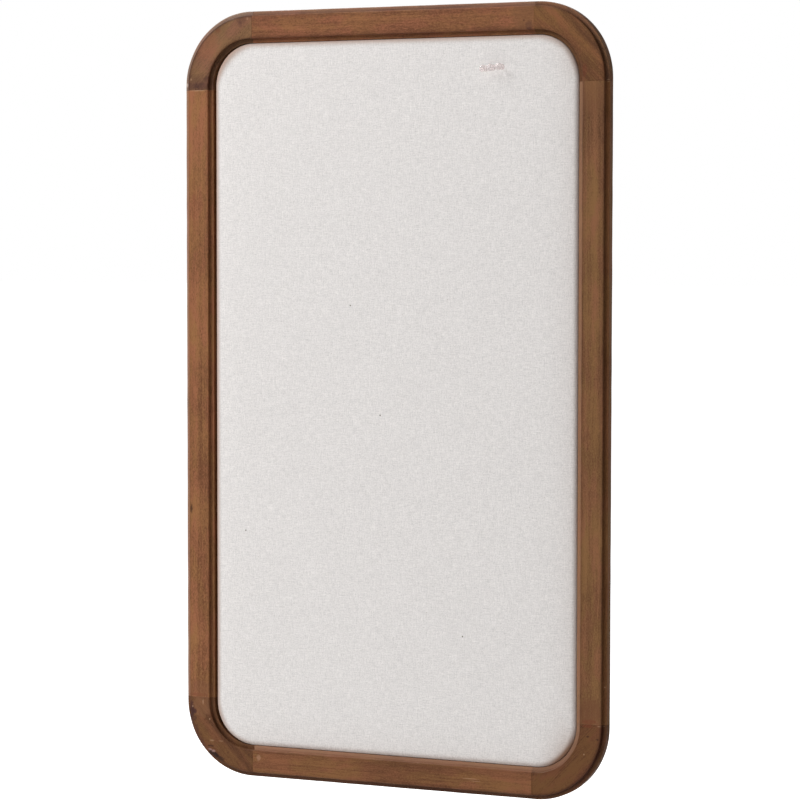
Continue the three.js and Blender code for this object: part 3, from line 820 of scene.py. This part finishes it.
def sectionLine():
    # The closed outline as base + bend: an eased corner is a quadratic curve between the points one ease
    # before and after it, so base holds the corner and bend the way from it. x runs inwards, y forwards.
    width, depth = board["railWidth"], board["depth"]
    innerEdge = section["outerLip"] + section["band"]
    arris, foot = section["arris"], section["foot"]
    corners = np.array([
        [0, 0, arris],
        [width - section["rabbet"], 0, foot],
        [width - section["rabbet"], board["rabbetDepth"], 0],
        [width, board["rabbetDepth"], foot],
        [width, section["lipDepth"], section["innerArris"]],
        [innerEdge, section["lipDepth"], foot],
        [innerEdge, depth, arris],
        [section["outerLip"], depth, arris],
        [section["outerLip"], section["lipDepth"], foot],
        [0, section["lipDepth"], arris],
    ])
    places, eases = corners[:, :2], corners[:, 2]
    afterPlaces, afterEases = np.roll(places, -1, 0), np.roll(eases, -1)
    base, bend = [], []
    for i, ease in enumerate(eases):
        here, before, after = places[i], places[i - 1], afterPlaces[i]
        share = np.linspace(0, 1, section["roundSteps"] + 1)[:, None] if ease > 0 else np.array([[0.5]])
        way = (1 - share) ** 2 * unit(before - here) + share ** 2 * unit(after - here)
        base.append(np.broadcast_to(here, way.shape))
        bend.append(way * ease)
        start = here + unit(after - here) * ease
        end = after - unit(after - here) * afterEases[i]
        count = max(1, math.ceil(np.linalg.norm(end - start) / section["spacing"]))
        between = start + (end - start) * (np.arange(1, count) / count)[:, None]
        base.append(between)
        bend.append(np.zeros_like(between))
    base, bend = np.vstack(base), np.vstack(bend)
    line = base + bend
    along = np.roll(line, -1, 0) - np.roll(line, 1, 0)
    normal = unit(np.stack([along[:, 1], -along[:, 0]], -1))
    arrises = places[[0, 4, 6, 7, 9]]  # the corners that hands reach
    feet = places[[5, 8]]  # the corners at the foot of the band's two walls
    toArris = np.linalg.norm(line[:, None] - arrises, axis=-1).min(-1)
    toFoot = np.linalg.norm(line[:, None] - feet, axis=-1).min(-1)
    x, y = line.T
    onFront = y >= section["lipDepth"] - arris
    onLip = onFront & (y <= section["lipDepth"] + foot)
    onTop, belowTop = y > depth - arris, y < depth - arris / 2
    fromStep, fromInner = x - section["outerLip"], x - innerEdge
    # recess darkens the foot of the band's walls with stain and painted shade. outerStep and innerWall
    # place a painted shadow, the rims stain with painted shade, and the lips take each piece's painted
    # shade or light.
    masks = dict(
        arris=np.exp(-(toArris / section["arrisReach"]) ** 2),
        recess=np.exp(-(toFoot / section["recessReach"]) ** 1.5) * onFront,
        outerStep=np.exp(-(fromStep / section["stepReach"]) ** 2) * onFront * belowTop,
        outerRim=np.exp(-((fromStep - foot) / section["stepReach"]) ** 2) * onTop,
        innerRim=np.exp(-(fromInner / section["rimReach"]) ** 2) * onTop,
        innerWall=(np.abs(fromInner) < foot) & (y > section["lipDepth"]) & belowTop,
        outerLip=onLip & (x < width / 2),
        innerLip=onLip & (x > width / 2),
    )
    return base, bend, normal, masks


def memberGrid(along, edge, outward, seed, dents=()):
    # A point is its edge point less the section's x times the way outwards, at the section's y forwards.
    # The arrises' ease and the faces' sag vary along it as sums of sines, fading out towards both ends.
    # The two end rows draw in along the normal to a fine joint. A dent pushes in by a bell curve round it.
    base, bend, normal, masks = sectionLine()
    length = along[-1]
    fade = np.clip(np.minimum(along, length - along) / section["endFade"], 0, 1)
    ease = 1 + section["arrisVariation"] * ripple(along, seed, section["variationLength"]) * fade
    flat = base + ease[:, None, None] * bend
    aroundSag = np.linspace(0, 0.5, len(base), endpoint=False)
    waves = ripple(along[:, None] + aroundSag, seed + 1, section["sagLength"])
    sag = section["faceSag"] * fade[:, None] * waves
    drawn = np.zeros(len(along))
    drawn[[0, -1]] = section["jointEase"]
    flat = flat + (sag - drawn[:, None])[:, :, None] * normal
    shape = flat.shape[:2]
    grid = np.stack([
        edge[:, None, 0] - outward[:, None, 0] * flat[..., 0],
        -flat[..., 1],
        edge[:, None, 1] - outward[:, None, 1] * flat[..., 0],
    ], -1)
    push = np.stack([
        -outward[:, None, 0] * normal[:, 0],
        np.broadcast_to(-normal[:, 1], shape),
        -outward[:, None, 1] * normal[:, 0],
    ], -1)
    for x, z, forward, size, depth in dents:
        away = np.linalg.norm(grid - np.array([x, -forward, z]), axis=-1)
        grid = grid - push * (depth * np.exp(-(away / size) ** 2))[..., None]
    spreadMasks = {label: np.broadcast_to(values, shape).astype(float) for label, values in masks.items()}
    spreadMasks["recess"][[0, -1]] = np.maximum(spreadMasks["recess"][[0, -1]], section["jointStain"])
    return grid, spreadMasks


def stations(length, step):  # places along a member, with the joint's fine ease at both ends
    inner = np.linspace(section["jointEase"], length - section["jointEase"], math.ceil(length / step) + 1)
    return np.concatenate([[0], inner, [length]])


def makeRail(name, outward, reach, halfLength, seed):
    # Its edge points are the way outwards x reach + the way along x the distance from its middle.
    along = stations(2 * halfLength, section["railStep"])
    direction = np.array([-outward[1], outward[0]], float)
    edge = np.array(outward) * reach + direction * (along - halfLength)[:, None]
    grid, masks = memberGrid(along, edge, np.broadcast_to(np.array(outward, float), edge.shape), seed)
    dress(makePiece(f"{name}_wood", grid, masks=masks), name, name)


# Shallow dents in the corner blocks' bands: x, z, forward, size and depth, in millimetres
nicks = dict(
    corner_bottom_left=[
        (-268.5, -481.5, 15.4, 2.6, 0.7),
        (-262.5, -485.5, 15.4, 2, 0.45),
        (-297, -432, 15.4, 2.4, 0.4),
    ],
    corner_top_left=[(-296.4, 421.7, 15.6, 1.8, 0.3), (-232, 499, 15.4, 2.4, 0.35)],
    corner_bottom_right=[(295.3, -411, 15.6, 1.6, 0.35)],
    corner_top_right=[(270, 470, 15.6, 1.8, 0.25)],
)


def makeCorner(name, signs, seed):
    # Its edge points are the centre + radius x the way outwards, a quarter turn about the corner's centre,
    # with a short straight run along the tangent at each end.
    x, z, startTurn = signs
    radius, straight = board["cornerRadius"], board["cornerStraight"]
    along = stations(radius * math.pi / 2 + 2 * straight, section["cornerStep"])
    onArc = np.clip(along - straight, 0, radius * math.pi / 2)
    turn = startTurn + onArc / radius
    outward = wayAt(turn)
    forward = np.stack([-np.sin(turn), np.cos(turn)], -1)
    centre = np.array([x * board["cornerX"], z * board["cornerZ"]])
    edge = centre + outward * radius + forward * (along - straight - onArc)[:, None]
    grid, masks = memberGrid(along, edge, outward, seed, np.array(nicks[name]) / 1000)
    dress(makePiece(f"{name}_wood", grid, masks=masks), name, name)


def makeFrame():  # each member's last number is the seed of its unevenness
    makeRail("left_rail", (-1, 0), board["halfWidth"], board["jointZ"], 11)
    makeRail("right_rail", (1, 0), board["halfWidth"], board["jointZ"], 12)
    makeRail("top_rail", (0, 1), board["halfHeight"], board["jointX"], 13)
    makeRail("bottom_rail", (0, -1), board["halfHeight"], board["jointX"], 14)
    for seed, (name, signs) in enumerate(cornerSigns.items()):
        makeCorner(f"corner_{name}", signs, 20 + seed)


# The panel: pieces whose outline is a rounded rectangle


def roundTheBoard(sideStep, arcSteps, slack):
    # Places round a rounded rectangle as the centre that each point turns about and its way outwards.
    # On an arc the centre stands still, and on a side it moves on to the next corner.
    # The slack moves the two left corners to the right.
    signs = list(cornerSigns.values())
    places = np.array([(x * board["cornerX"] + slack * (x < 0), z * board["cornerZ"]) for x, z, _ in signs])
    centres, ways = [], []
    for i, (x, z, startTurn) in enumerate(signs):
        here, after = places[i], places[(i + 1) % 4]
        turn = startTurn + np.linspace(0, math.pi / 2, arcSteps + 1)
        centres.append(np.broadcast_to(here, (len(turn), 2)))
        ways.append(wayAt(turn))
        count = math.ceil(np.linalg.norm(after - here) / sideStep)
        share = (np.arange(1, count) / count)[:, None]
        centres.append(here + (after - here) * share)
        ways.append(np.broadcast_to(ways[-1][-1], (count - 1, 2)))
    return np.vstack(centres), np.vstack(ways)


def panelGrid(rows, sideStep, arcSteps, uneven=None, slack=0.0):
    # A point is share x (its centre + (corner radius - inset) x the way outwards), at its depth forwards.
    # rows are (inset from the frame's edge, depth, share, inset on the cut, flat cloth).
    inset, depth, share, flatInset = np.array(rows, float).T
    centre, way = roundTheBoard(sideStep, arcSteps, slack)
    radius = board["cornerRadius"]
    out = share[:, None, None] * (centre + (radius - inset)[:, None, None] * way)
    cut = share[:, None, None] * (centre + (radius - flatInset)[:, None, None] * way)
    depths = np.broadcast_to(depth[:, None], out.shape[:2])
    if uneven is not None:
        out, depths = uneven(out, depths, way, share)
    grid = np.stack([out[..., 0], -depths, out[..., 1]], -1)
    return grid, np.stack([cut[..., 0], cut[..., 1], np.zeros_like(depths)], -1)


def clothRows(skin):
    # The pad's front from its middle outwards: a low dome, crown x (1 - the share to the crown's power),
    # then a quarter of an ellipse down to its edge. The flat inset runs on along the ellipse's own length,
    # so that the weave isn't stretched there.
    front = -nodeBox("linen_cover")[0][1] - linen["crown"]
    width, height = linen["rollWidth"], linen["rollHeight"]
    rollInset = board["padInset"] + width
    share = 1 - (1 - linen["poleShare"]) * np.linspace(1, 0, linen["domeRows"]) ** linen["domeSpacing"]
    full = np.full_like(share, rollInset)
    rise = front - skin + linen["crown"] * (1 - share ** linen["crownPower"])
    turn = np.linspace(math.pi / 2, 0, linen["rollRows"] + 1)
    outer = [width, height] * wayAt(turn)
    length = np.cumsum(np.linalg.norm(np.diff(outer, axis=0), axis=-1))
    turn = turn[1:]
    roll = [rollInset - (width - skin) * np.cos(turn), front - height + (height - skin) * np.sin(turn)]
    roll += [np.ones_like(turn), rollInset - length]
    return np.hstack([[full, rise, share, full], roll]).T.tolist()


def clothUneven(out, depths, way, share):
    # The front rises by three crossing sines, the swells, and by a cosine round the edge that fades
    # inwards, the pull of each staple. The pleats are a cosine of the turn, strongest amid each corner.
    x, z = out[..., 0], out[..., 1]
    phases = (x / 0.021 + z / 0.035, z / 0.043 - x / 0.029 + 1.3, x / 0.055 + 0.7)
    swell = sum(np.sin(phase) for phase in phases) / 3
    around = np.concatenate([[0], np.cumsum(np.linalg.norm(np.diff(out[-1], axis=0), axis=-1))])
    edgeX = board["halfWidth"] - board["railWidth"] - np.abs(x) - board["padSlack"] * (x < 0)
    edgeZ = board["halfHeight"] - board["railWidth"] - np.abs(z)
    toEdge = np.maximum(np.minimum(edgeX, edgeZ), 0)
    pull = np.cos(2 * np.pi * around / linen["pullPitch"]) * np.exp(-toEdge / linen["pullReach"])
    front = depths > board["depth"] - linen["frontReach"]
    depths = depths + front * (linen["swell"] * swell + linen["pullDepth"] * pull)
    turn = np.arctan2(way[:, 1], way[:, 0])
    onArc = np.sin(2 * turn) ** 2
    outer = share[:, None] == 1
    pleat = np.cos(4 * linen["pleats"] * turn) * onArc * outer * (toEdge < linen["pleatReach"])
    out = out - (linen["pleatDepth"] * (1 + pleat) * outer)[..., None] * way
    return out, depths


def linenRows():
    # The sheet's outer and inner rows as inset, depth, share and flat inset: the pad's front, a straight
    # wall, a small quarter turn and the hem on the back. The flat inset runs on along the sheet.
    t, hemBack = linen["thickness"], -nodeBox("linen_cover")[1][1]
    panelInset = board["padInset"]
    outside, inside = clothRows(0), clothRows(t)
    wallTop, flatTop = outside[-1][1], outside[-1][3]
    edge = linen["hemEdge"]
    for depth in np.linspace(wallTop, hemBack + edge, linen["wallRows"] + 1)[1:]:
        outside.append((panelInset, depth, 1, flatTop - (wallTop - depth)))
        inside.append((panelInset + t, max(depth, hemBack + t), 1, flatTop - (wallTop - depth)))
    flatWall = outside[-1][3]
    for turn in np.linspace(0, math.pi / 2, linen["turnRows"] + 1)[1:]:
        inwards, backwards = 1 - math.cos(turn), 1 - math.sin(turn)
        along, inner = flatWall - edge * turn, edge - t
        outside.append((panelInset + edge * inwards, hemBack + edge * backwards, 1, along))
        inside.append((panelInset + t + inner * inwards, hemBack + t + inner * backwards, 1, along))
    flatHem, hem = outside[-1][3], linen["hemWidth"] - edge
    for share in np.linspace(0, 1, linen["hemRows"] + 1)[1:]:
        outside.append((panelInset + edge + hem * share, hemBack, 1, flatHem - hem * share))
        inside.append((panelInset + edge + hem * share, hemBack + t, 1, flatHem - hem * share))
    return outside, inside, flatTop


def clothShadeAndSoil(rows, flatTop):
    # Painted shade with some soil along the pad's edge, where the frame shades the cloth and the roll turns
    # from the light. With w the way in from the rolled edge, the near band is its share x exp(-(w /
    # reach)^3) and the wide band its share x exp(-w / its reach). The near band is stronger where the edge
    # faces the light and the wide band where it faces away. The near band is stronger at the lower right
    # corner and reaches further at the top left one, and the wide band is stronger at the two right
    # corners.
    share, fromWall = np.array(rows).T[2:] - [[0], [flatTop]]
    _, way = roundTheBoard(linen["sideStep"], linen["arcSteps"], board["padSlack"])
    right, up = way.T
    toMiddle = board["halfWidth"] * np.abs(right) + board["halfHeight"] * np.abs(up)
    away = np.maximum(fromWall, 0)[:, None] + (1 - share)[:, None] * toMiddle
    towardsLight = linen["lightRise"] * up - right
    corner = 2 * np.abs(right * up)
    topLeft = corner * np.maximum(up - right, 0) / math.sqrt(2)
    lowRight = corner * np.maximum(right - up, 0) / math.sqrt(2)
    reach = linen["nearBandReach"] * (1 + linen["cornerReach"] * topLeft)
    edgeShadeAndSoil = linen["nearBandShare"] + linen["nearBandLean"] * towardsLight + linen["cornerNearBand"] * lowRight
    wideBand = linen["wideBand"] - linen["wideBandLean"] * towardsLight
    wideBand = wideBand + linen["cornerWideBand"] * corner * np.maximum(right, 0) * (1 - linen["wideBandTilt"] * up)
    return np.clip(edgeShadeAndSoil * np.exp(-(away / reach) ** 3) + wideBand * np.exp(-away / linen["wideBandReach"]), 0, 1)


def makeLinenCover():
    outside, inside, flatTop = linenRows()
    rows = outside + inside[::-1]
    grid, cut = panelGrid(rows, linen["sideStep"], linen["arcSteps"], clothUneven, board["padSlack"])
    cloth = makePiece("linen_cloth", grid, "poles", 50, dict(cut=cut, edgeShadeAndSoil=clothShadeAndSoil(rows, flatTop)))
    piece = dress(cloth, "linen", "linen_cover")


padding = dict(clearance=0.0003, shares=(1, 0.85, 0.5, 0.1), sideStep=0.016, arcSteps=10)


def makePadding():
    # The batting fills the linen's front, wraps the core board's edge and lies flat on its face.
    core = nodeBox("core_board")
    gap = padding["clearance"]
    edge, face, back = board["halfWidth"] - core[1][0] - gap, gap - core[0][1], -core[1][1]
    rows = clothRows(linen["thickness"] + gap)
    inset = rows[-1][0]
    rows += [(inset, (rows[-1][1] + back) / 2, 1, inset), (inset, back, 1, inset), (edge, back, 1, edge)]
    rows += [(edge, face, share, edge) for share in padding["shares"]]
    grid, cut = panelGrid(rows, padding["sideStep"], padding["arcSteps"], clothUneven, board["padSlack"])
    sheet = makePiece("batting_sheet", grid, "poles", 50, dict(cut=cut))
    piece = dress(sheet, "batting", "padding")


backing = dict(ease=0.0003, shares=(0.05, 0.5, 0.9), sideStep=0.03, arcSteps=18)


def makeBackingPanel():
    # Two flat faces in rows at a few shares of the way out, and a wall with an eased edge at each face.
    low, high = nodeBox("backing_panel")
    inset, thickness, ease = board["halfWidth"] - high[0], -low[1], backing["ease"]
    rows = [(inset, thickness, share) for share in backing["shares"]]
    rows += [(inset + ease, thickness, 1), (inset, thickness - ease, 1)]
    rows += [(inset, ease, 1), (inset + ease, 0, 1)]
    rows += [(inset, 0, share) for share in backing["shares"][::-1]]
    grid, _ = panelGrid([(*row, inset) for row in rows], backing["sideStep"], backing["arcSteps"])
    dress(makePiece("backing_hardboard", grid, "poles", 30), "hardboard", "backing_panel")


# Screws: a pan head with a cross recess, a shank and a point
screw = dict(
    head=0.0032, headHeight=0.0018, domeHeight=0.62, domeRows=20, shank=0.0015, point=0.002, tip=0.0001,
    arm=0.0017, armEase=0.0004, armWidth=0.00042, wallEase=0.00012, recess=0.0011, sides=56,
)


def makeScrew(node):
    # The head's top falls with the fourth power of the radius' share. The recess is pressed in where a
    # point lies within a cross: within an arm's length one way and within its width the other.
    low, high = nodeBox(node)
    middle = (low + high) / 2
    end = high[1] - low[1]
    head, height, rows = screw["head"], screw["headHeight"], screw["domeRows"]
    profile = [(head * s, height * screw["domeHeight"] * s ** 4) for s in np.linspace(0.03, 0.8, rows)]
    profile += [(head * s, height * t) for s, t in ((0.93, 0.42), (1, 0.7), (1, 0.95), (0.97, 1))]
    profile += [(screw["shank"], height), (screw["shank"], end - screw["point"]), (screw["tip"], end)]
    grid = turnedGrid(profile, middleAt(low, high, high[1]), (0, -1, 0), screw["sides"])
    across = np.abs(grid[:rows, :, [0, 2]] - middle[[0, 2]])
    long, short = across.max(-1), across.min(-1)
    armPart = np.clip((screw["arm"] - long) / screw["armEase"], 0, 1)
    widthPart = np.clip((screw["armWidth"] - short) / screw["wallEase"] + 1, 0, 1)
    grid[:rows, :, 1] -= screw["recess"] * (armPart * widthPart)
    dress(makePiece(f"{node}_crosshead", grid, "poles", 28), "plated", node)


# Ring hangers: a rolled strap and a D of round wire
hanger = dict(wire=0.00125, play=0.0003, strap=0.0012, curl=116, bend=0.0025, corner=0.003, ease=0.0002)


def strapGrid(node):
    # A flat bar with eased edges, carried up the frame's back and round the knuckle. A point is the line's
    # point + its depth in the bar x the way outwards, at its width across. The foot's corners are rounded.
    low, high = nodeBox(node)
    knuckle = hanger["wire"] + hanger["play"] + hanger["strap"]
    axisZ, thick = high[2] - knuckle, hanger["strap"]
    length, roll = axisZ - low[2], knuckle - thick / 2
    corner = hanger["corner"]
    roundEnd = corner * (1 - np.cos(np.linspace(0, np.pi / 2, 8)))
    rise = np.concatenate([roundEnd, [length * 0.5, length * 0.9]])
    plate = np.stack([np.full_like(rise, thick / 2), low[2] + rise], -1)
    turn = np.linspace(np.pi, -np.radians(hanger["curl"]), 40)
    curl = [knuckle, axisZ] + roll * wayAt(turn)
    line = np.vstack([plate, curl])
    side = np.vstack([np.tile([-1.0, 0.0], (len(plate), 1)), wayAt(turn)])
    inset = np.clip(corner - np.concatenate([rise, np.full(len(curl), length)]), 0, corner)
    half = (high[0] - low[0]) / 2 - corner + np.sqrt(np.maximum(corner ** 2 - inset ** 2, 0))
    ease, half = hanger["ease"], half[:, None]
    wide = np.concatenate([half - ease, half, half, half - ease, ease - half, -half, -half, ease - half], 1)
    deep = np.array([1, 1, -1, -1, -1, -1, 1, 1]) * thick / 2 - np.array([0, 1, -1, 0, 0, -1, 1, 0]) * ease
    grid = np.empty((*wide.shape, 3))
    grid[..., 0] = (low[0] + high[0]) / 2 + wide
    grid[..., 1:] = line[:, None] + deep[None, :, None] * side[:, None]
    return grid


def ringGrid(node):
    # The wire's line is a bar, two small bends and half an ellipse; a circle is carried round it.
    low, high = nodeBox(node)
    wire, bend = hanger["wire"], hanger["bend"]
    half, top, bottom = (high[0] - low[0]) / 2 - wire, high[2] - wire, low[2] + wire
    flat = half - bend
    bar = np.stack([np.linspace(-flat, flat, 30, endpoint=False), np.zeros(30)], -1)
    turn = np.linspace(np.pi / 2, 0, 14, endpoint=False)
    rightBend = [flat, -bend] + bend * wayAt(turn)
    sweep = np.linspace(0, -np.pi, 70, endpoint=False)
    bow = [0, -bend] + [half, top - bottom - bend] * wayAt(sweep)
    leftBend = rightBend[::-1] * [-1, 1]
    line = np.vstack([bar, rightBend, bow, leftBend])
    along = unit(np.roll(line, -1, 0) - np.roll(line, 1, 0))
    sideways = np.stack([along[:, 1], np.zeros(len(line)), -along[:, 0]], -1)
    centre = (low + high) / 2
    middle = np.stack([centre[0] + line[:, 0], np.full(len(line), centre[1]), top + line[:, 1]], -1)
    circle = np.linspace(0, 2 * np.pi, 20, endpoint=False)[None, :, None]
    ring = np.cos(circle) * sideways[:, None] + np.sin(circle) * np.array([0, 1, 0])
    return middle[:, None] + wire * ring


def makeHanger(side):
    strap, ring = f"hanger_{side}_strap", f"hanger_{side}_ring"
    dress(makePiece(f"{strap}_rolled", strapGrid(strap)), "plated", strap)
    wire = makePiece(f"{ring}_wire", ringGrid(ring), "loop", 60)
    dress(wire, "plated", ring, f"{side}_ring")


# Bumpers, dowels and push pins: all turned
bumper = dict(ease=0.001, dish=0.0004, pole=0.0003, sides=64)


def makeBumper(node):
    # A flat face at the frame, an upright side, a quarter round, and a shallow dish in the far face.
    low, high = nodeBox(node)
    radius, thick, ease = (high[0] - low[0]) / 2, high[1] - low[1], bumper["ease"]
    turn = np.linspace(0, np.pi / 2, 7)
    pole, floor = bumper["pole"], thick - bumper["dish"]
    profile = [(pole, 0), (radius * 0.5, 0), (radius - ease * 0.3, 0), (radius, ease * 0.3)]
    profile += [(radius, thick * 0.5)]
    profile += [(radius - ease + ease * math.cos(a), thick - ease + ease * math.sin(a)) for a in turn]
    profile += [(radius * 0.72, thick), (radius * 0.6, floor), (pole, floor)]
    grid = turnedGrid(profile, middleAt(low, high, low[1]), (0, 1, 0), bumper["sides"])
    dress(makePiece(f"{node}_pad", grid, "poles", 40), "rubber", node)


dowel = dict(chamfer=0.0008, pole=0.05, flute=0.07, flutes=18, sides=72)


def makeDowel(node):
    # A chamfered rod along the longest side of its node's box, with shallow flutes along it.
    low, high = nodeBox(node)
    size = high - low
    axis = int(np.argmax(size))
    radius, length, chamfer = float(np.sort(size)[0]) / 2, float(size[axis]), dowel["chamfer"]
    pole = radius * dowel["pole"]
    profile = [(pole, 0), (radius - chamfer, 0), (radius, chamfer)]
    profile += [(radius, length - chamfer), (radius - chamfer, length), (pole, length)]
    start = (low + high) / 2
    start[axis] = low[axis]
    grid = turnedGrid(profile, start, np.eye(3)[axis], dowel["sides"], dowel["flute"], dowel["flutes"])
    dress(makePiece(f"{node}_fluted", grid, "poles", 24), "beech", node)


pin = dict(
    collar=0.0039, collarThick=0.0012, footRise=0.0016, waist=0.0021, cap=0.0047, capThick=0.0019,
    flare=0.72, edge=0.00035, dome=0.0014, socket=0.0006, socketDepth=0.00605, pole=0.00002,
    pointLength=0.0026, pointRadius=0.00001, sides=64, needleSides=32,
)


def makePin(number):
    # The head's foot narrows from the collar by the power 2.4 of the way up, and its waist widens to the
    # cap by the power 2.6. The needle's point narrows by the power 1.6.
    head, needle, body = f"pin_{number}_head", f"pin_{number}_needle", f"pin_{number}"
    low, high = nodeBox(head)
    length, edge = high[1] - low[1], pin["edge"]
    collar, waist, cap = pin["collar"], pin["waist"], pin["cap"]
    collarTop, footRise = pin["collarThick"], pin["footRise"]
    footTop, capStart, brim = collarTop + footRise, length - pin["capThick"], length - pin["dome"]
    foot, flare = np.linspace(0, 1, 8)[1:], np.linspace(0, 1, 16)[1:]
    around = np.linspace(0.12, 1, 8)[:-1] * math.pi / 2
    profile = [(pin["pole"], pin["socketDepth"]), (pin["socket"], pin["socketDepth"]), (pin["socket"], 0.0)]
    profile += [(collar - edge, 0), (collar, edge), (collar, collarTop - edge), (collar - edge, collarTop)]
    profile += [(waist + (collar - edge - waist) * (1 - s) ** 2.4, collarTop + footRise * s) for s in foot]
    widest, rise = cap * pin["flare"], capStart - footTop
    profile += [(waist + (widest - waist) * s ** 2.6, footTop + rise * s) for s in flare]
    profile += [(cap - edge, capStart + edge * 0.3), (cap, capStart + edge), (cap, brim)]
    profile += [(cap * math.cos(a), length - pin["dome"] * (1 - math.sin(a))) for a in around]
    profile += [(pin["pole"], length)]
    grid = turnedGrid(profile, middleAt(low, high, high[1]), (0, -1, 0), pin["sides"])
    dress(makePiece(f"{head}_clear", grid, "poles", 40), "clear", head, body)
    low, high = nodeBox(needle)
    radius, length = (high[0] - low[0]) / 2, high[1] - low[1]
    point, finest = pin["pointLength"], pin["pointRadius"]
    taper = np.linspace(0, 1, 8)
    profile = [(radius * 0.1, 0), (radius * 0.8, 0), (radius, radius * 0.3)]
    profile += [(max(radius * (1 - s ** 1.6), finest), length - point + point * s) for s in taper]
    grid = turnedGrid(profile, middleAt(low, high, low[1]), (0, 1, 0), pin["needleSides"])
    dress(makePiece(f"{needle}_steel", grid, "poles", 40), "needle", needle, body)


# Room: a pale floor, plain soft lamps and a white surround
room = dict(
    floorDrop=0.75, floorHalf=120.0, floor=tint(249, 249, 248), floorGlow=0.9, surround=0.2, mirrored=0.4,
    lamps=dict(
        key=dict(place=(-3.94, -2.47, 4.2), size=3.5, power=472.0),
        back=dict(place=(-2.4, 4.2, 2.6), size=2.4, power=110.0),
    ),
)


def makeRoom():
    half = room["floorHalf"]
    height = -board["halfHeight"] - room["floorDrop"]
    mesh = bpy.data.meshes.new("floor")
    corners = [(x * half, y * half, height) for x, y in ((-1, -1), (1, -1), (1, 1), (-1, 1))]
    mesh.from_pydata(corners, [], [(0, 1, 2, 3)])
    floor = bpy.data.objects.new("floor", mesh)
    bpy.context.scene.collection.objects.link(floor)
    material, tree, shader = startMaterial(
        "pale_floor", Base_Color=room["floor"], Roughness=1.0, Specular_IOR_Level=0.0,
    )
    shader.inputs["Emission Color"].default_value = (1, 1, 1, 1)
    seen = tree.nodes.new("ShaderNodeLightPath").outputs["Is Camera Ray"]
    tree.links.new(times(tree, seen, room["floorGlow"]), shader.inputs["Emission Strength"])
    mesh.materials.append(material)
    world = bpy.data.worlds.new("white_surround")
    bpy.context.scene.world = world
    world.use_nodes = True
    tree = world.node_tree
    path = tree.nodes.new("ShaderNodeLightPath").outputs
    seen = times(tree, path["Is Glossy Ray"], room["mirrored"])
    seen = calc(tree, "MAXIMUM", path["Is Camera Ray"], seen)
    seen = calc(tree, "MAXIMUM", seen, path["Is Transmission Ray"])
    strength = plus(tree, times(tree, seen, 1 - room["surround"]), room["surround"])
    background = tree.nodes["Background"]
    background.inputs["Color"].default_value = (1, 1, 1, 1)
    tree.links.new(strength, background.inputs["Strength"])
    for name, lamp in room["lamps"].items():
        data = bpy.data.lights.new(f"{name}_lamp", "AREA")
        data.shape, data.size, data.energy = "DISK", lamp["size"], lamp["power"]
        made = bpy.data.objects.new(f"{name}_lamp", data)
        facing = Vector([-value for value in lamp["place"]]).to_track_quat("-Z", "Y")
        made.matrix_world = Matrix.Translation(lamp["place"]) @ facing.to_matrix().to_4x4()
        bpy.context.scene.collection.objects.link(made)


makeCamera()
print("carrying the frame's section round the board")
makeFrame()
print("stretching the linen")
makeLinenCover()
makePadding()
makeBackingPanel()
print("turning the small pieces")
for node in list(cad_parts):
    if node.startswith("dowel_"):
        makeDowel(node)
    if node.startswith("bumper_"):
        makeBumper(node)
    if "screw" in node:
        makeScrew(node)
for side in ("left", "right"):
    makeHanger(side)
for number in (1, 2, 3):
    makePin(number)
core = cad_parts["core_board"]
core.data.materials.clear()
core.data.materials.append(materials["softboard"])
print("setting up the room")
makeRoom()
bpy.context.scene.view_settings.view_transform = "Standard"
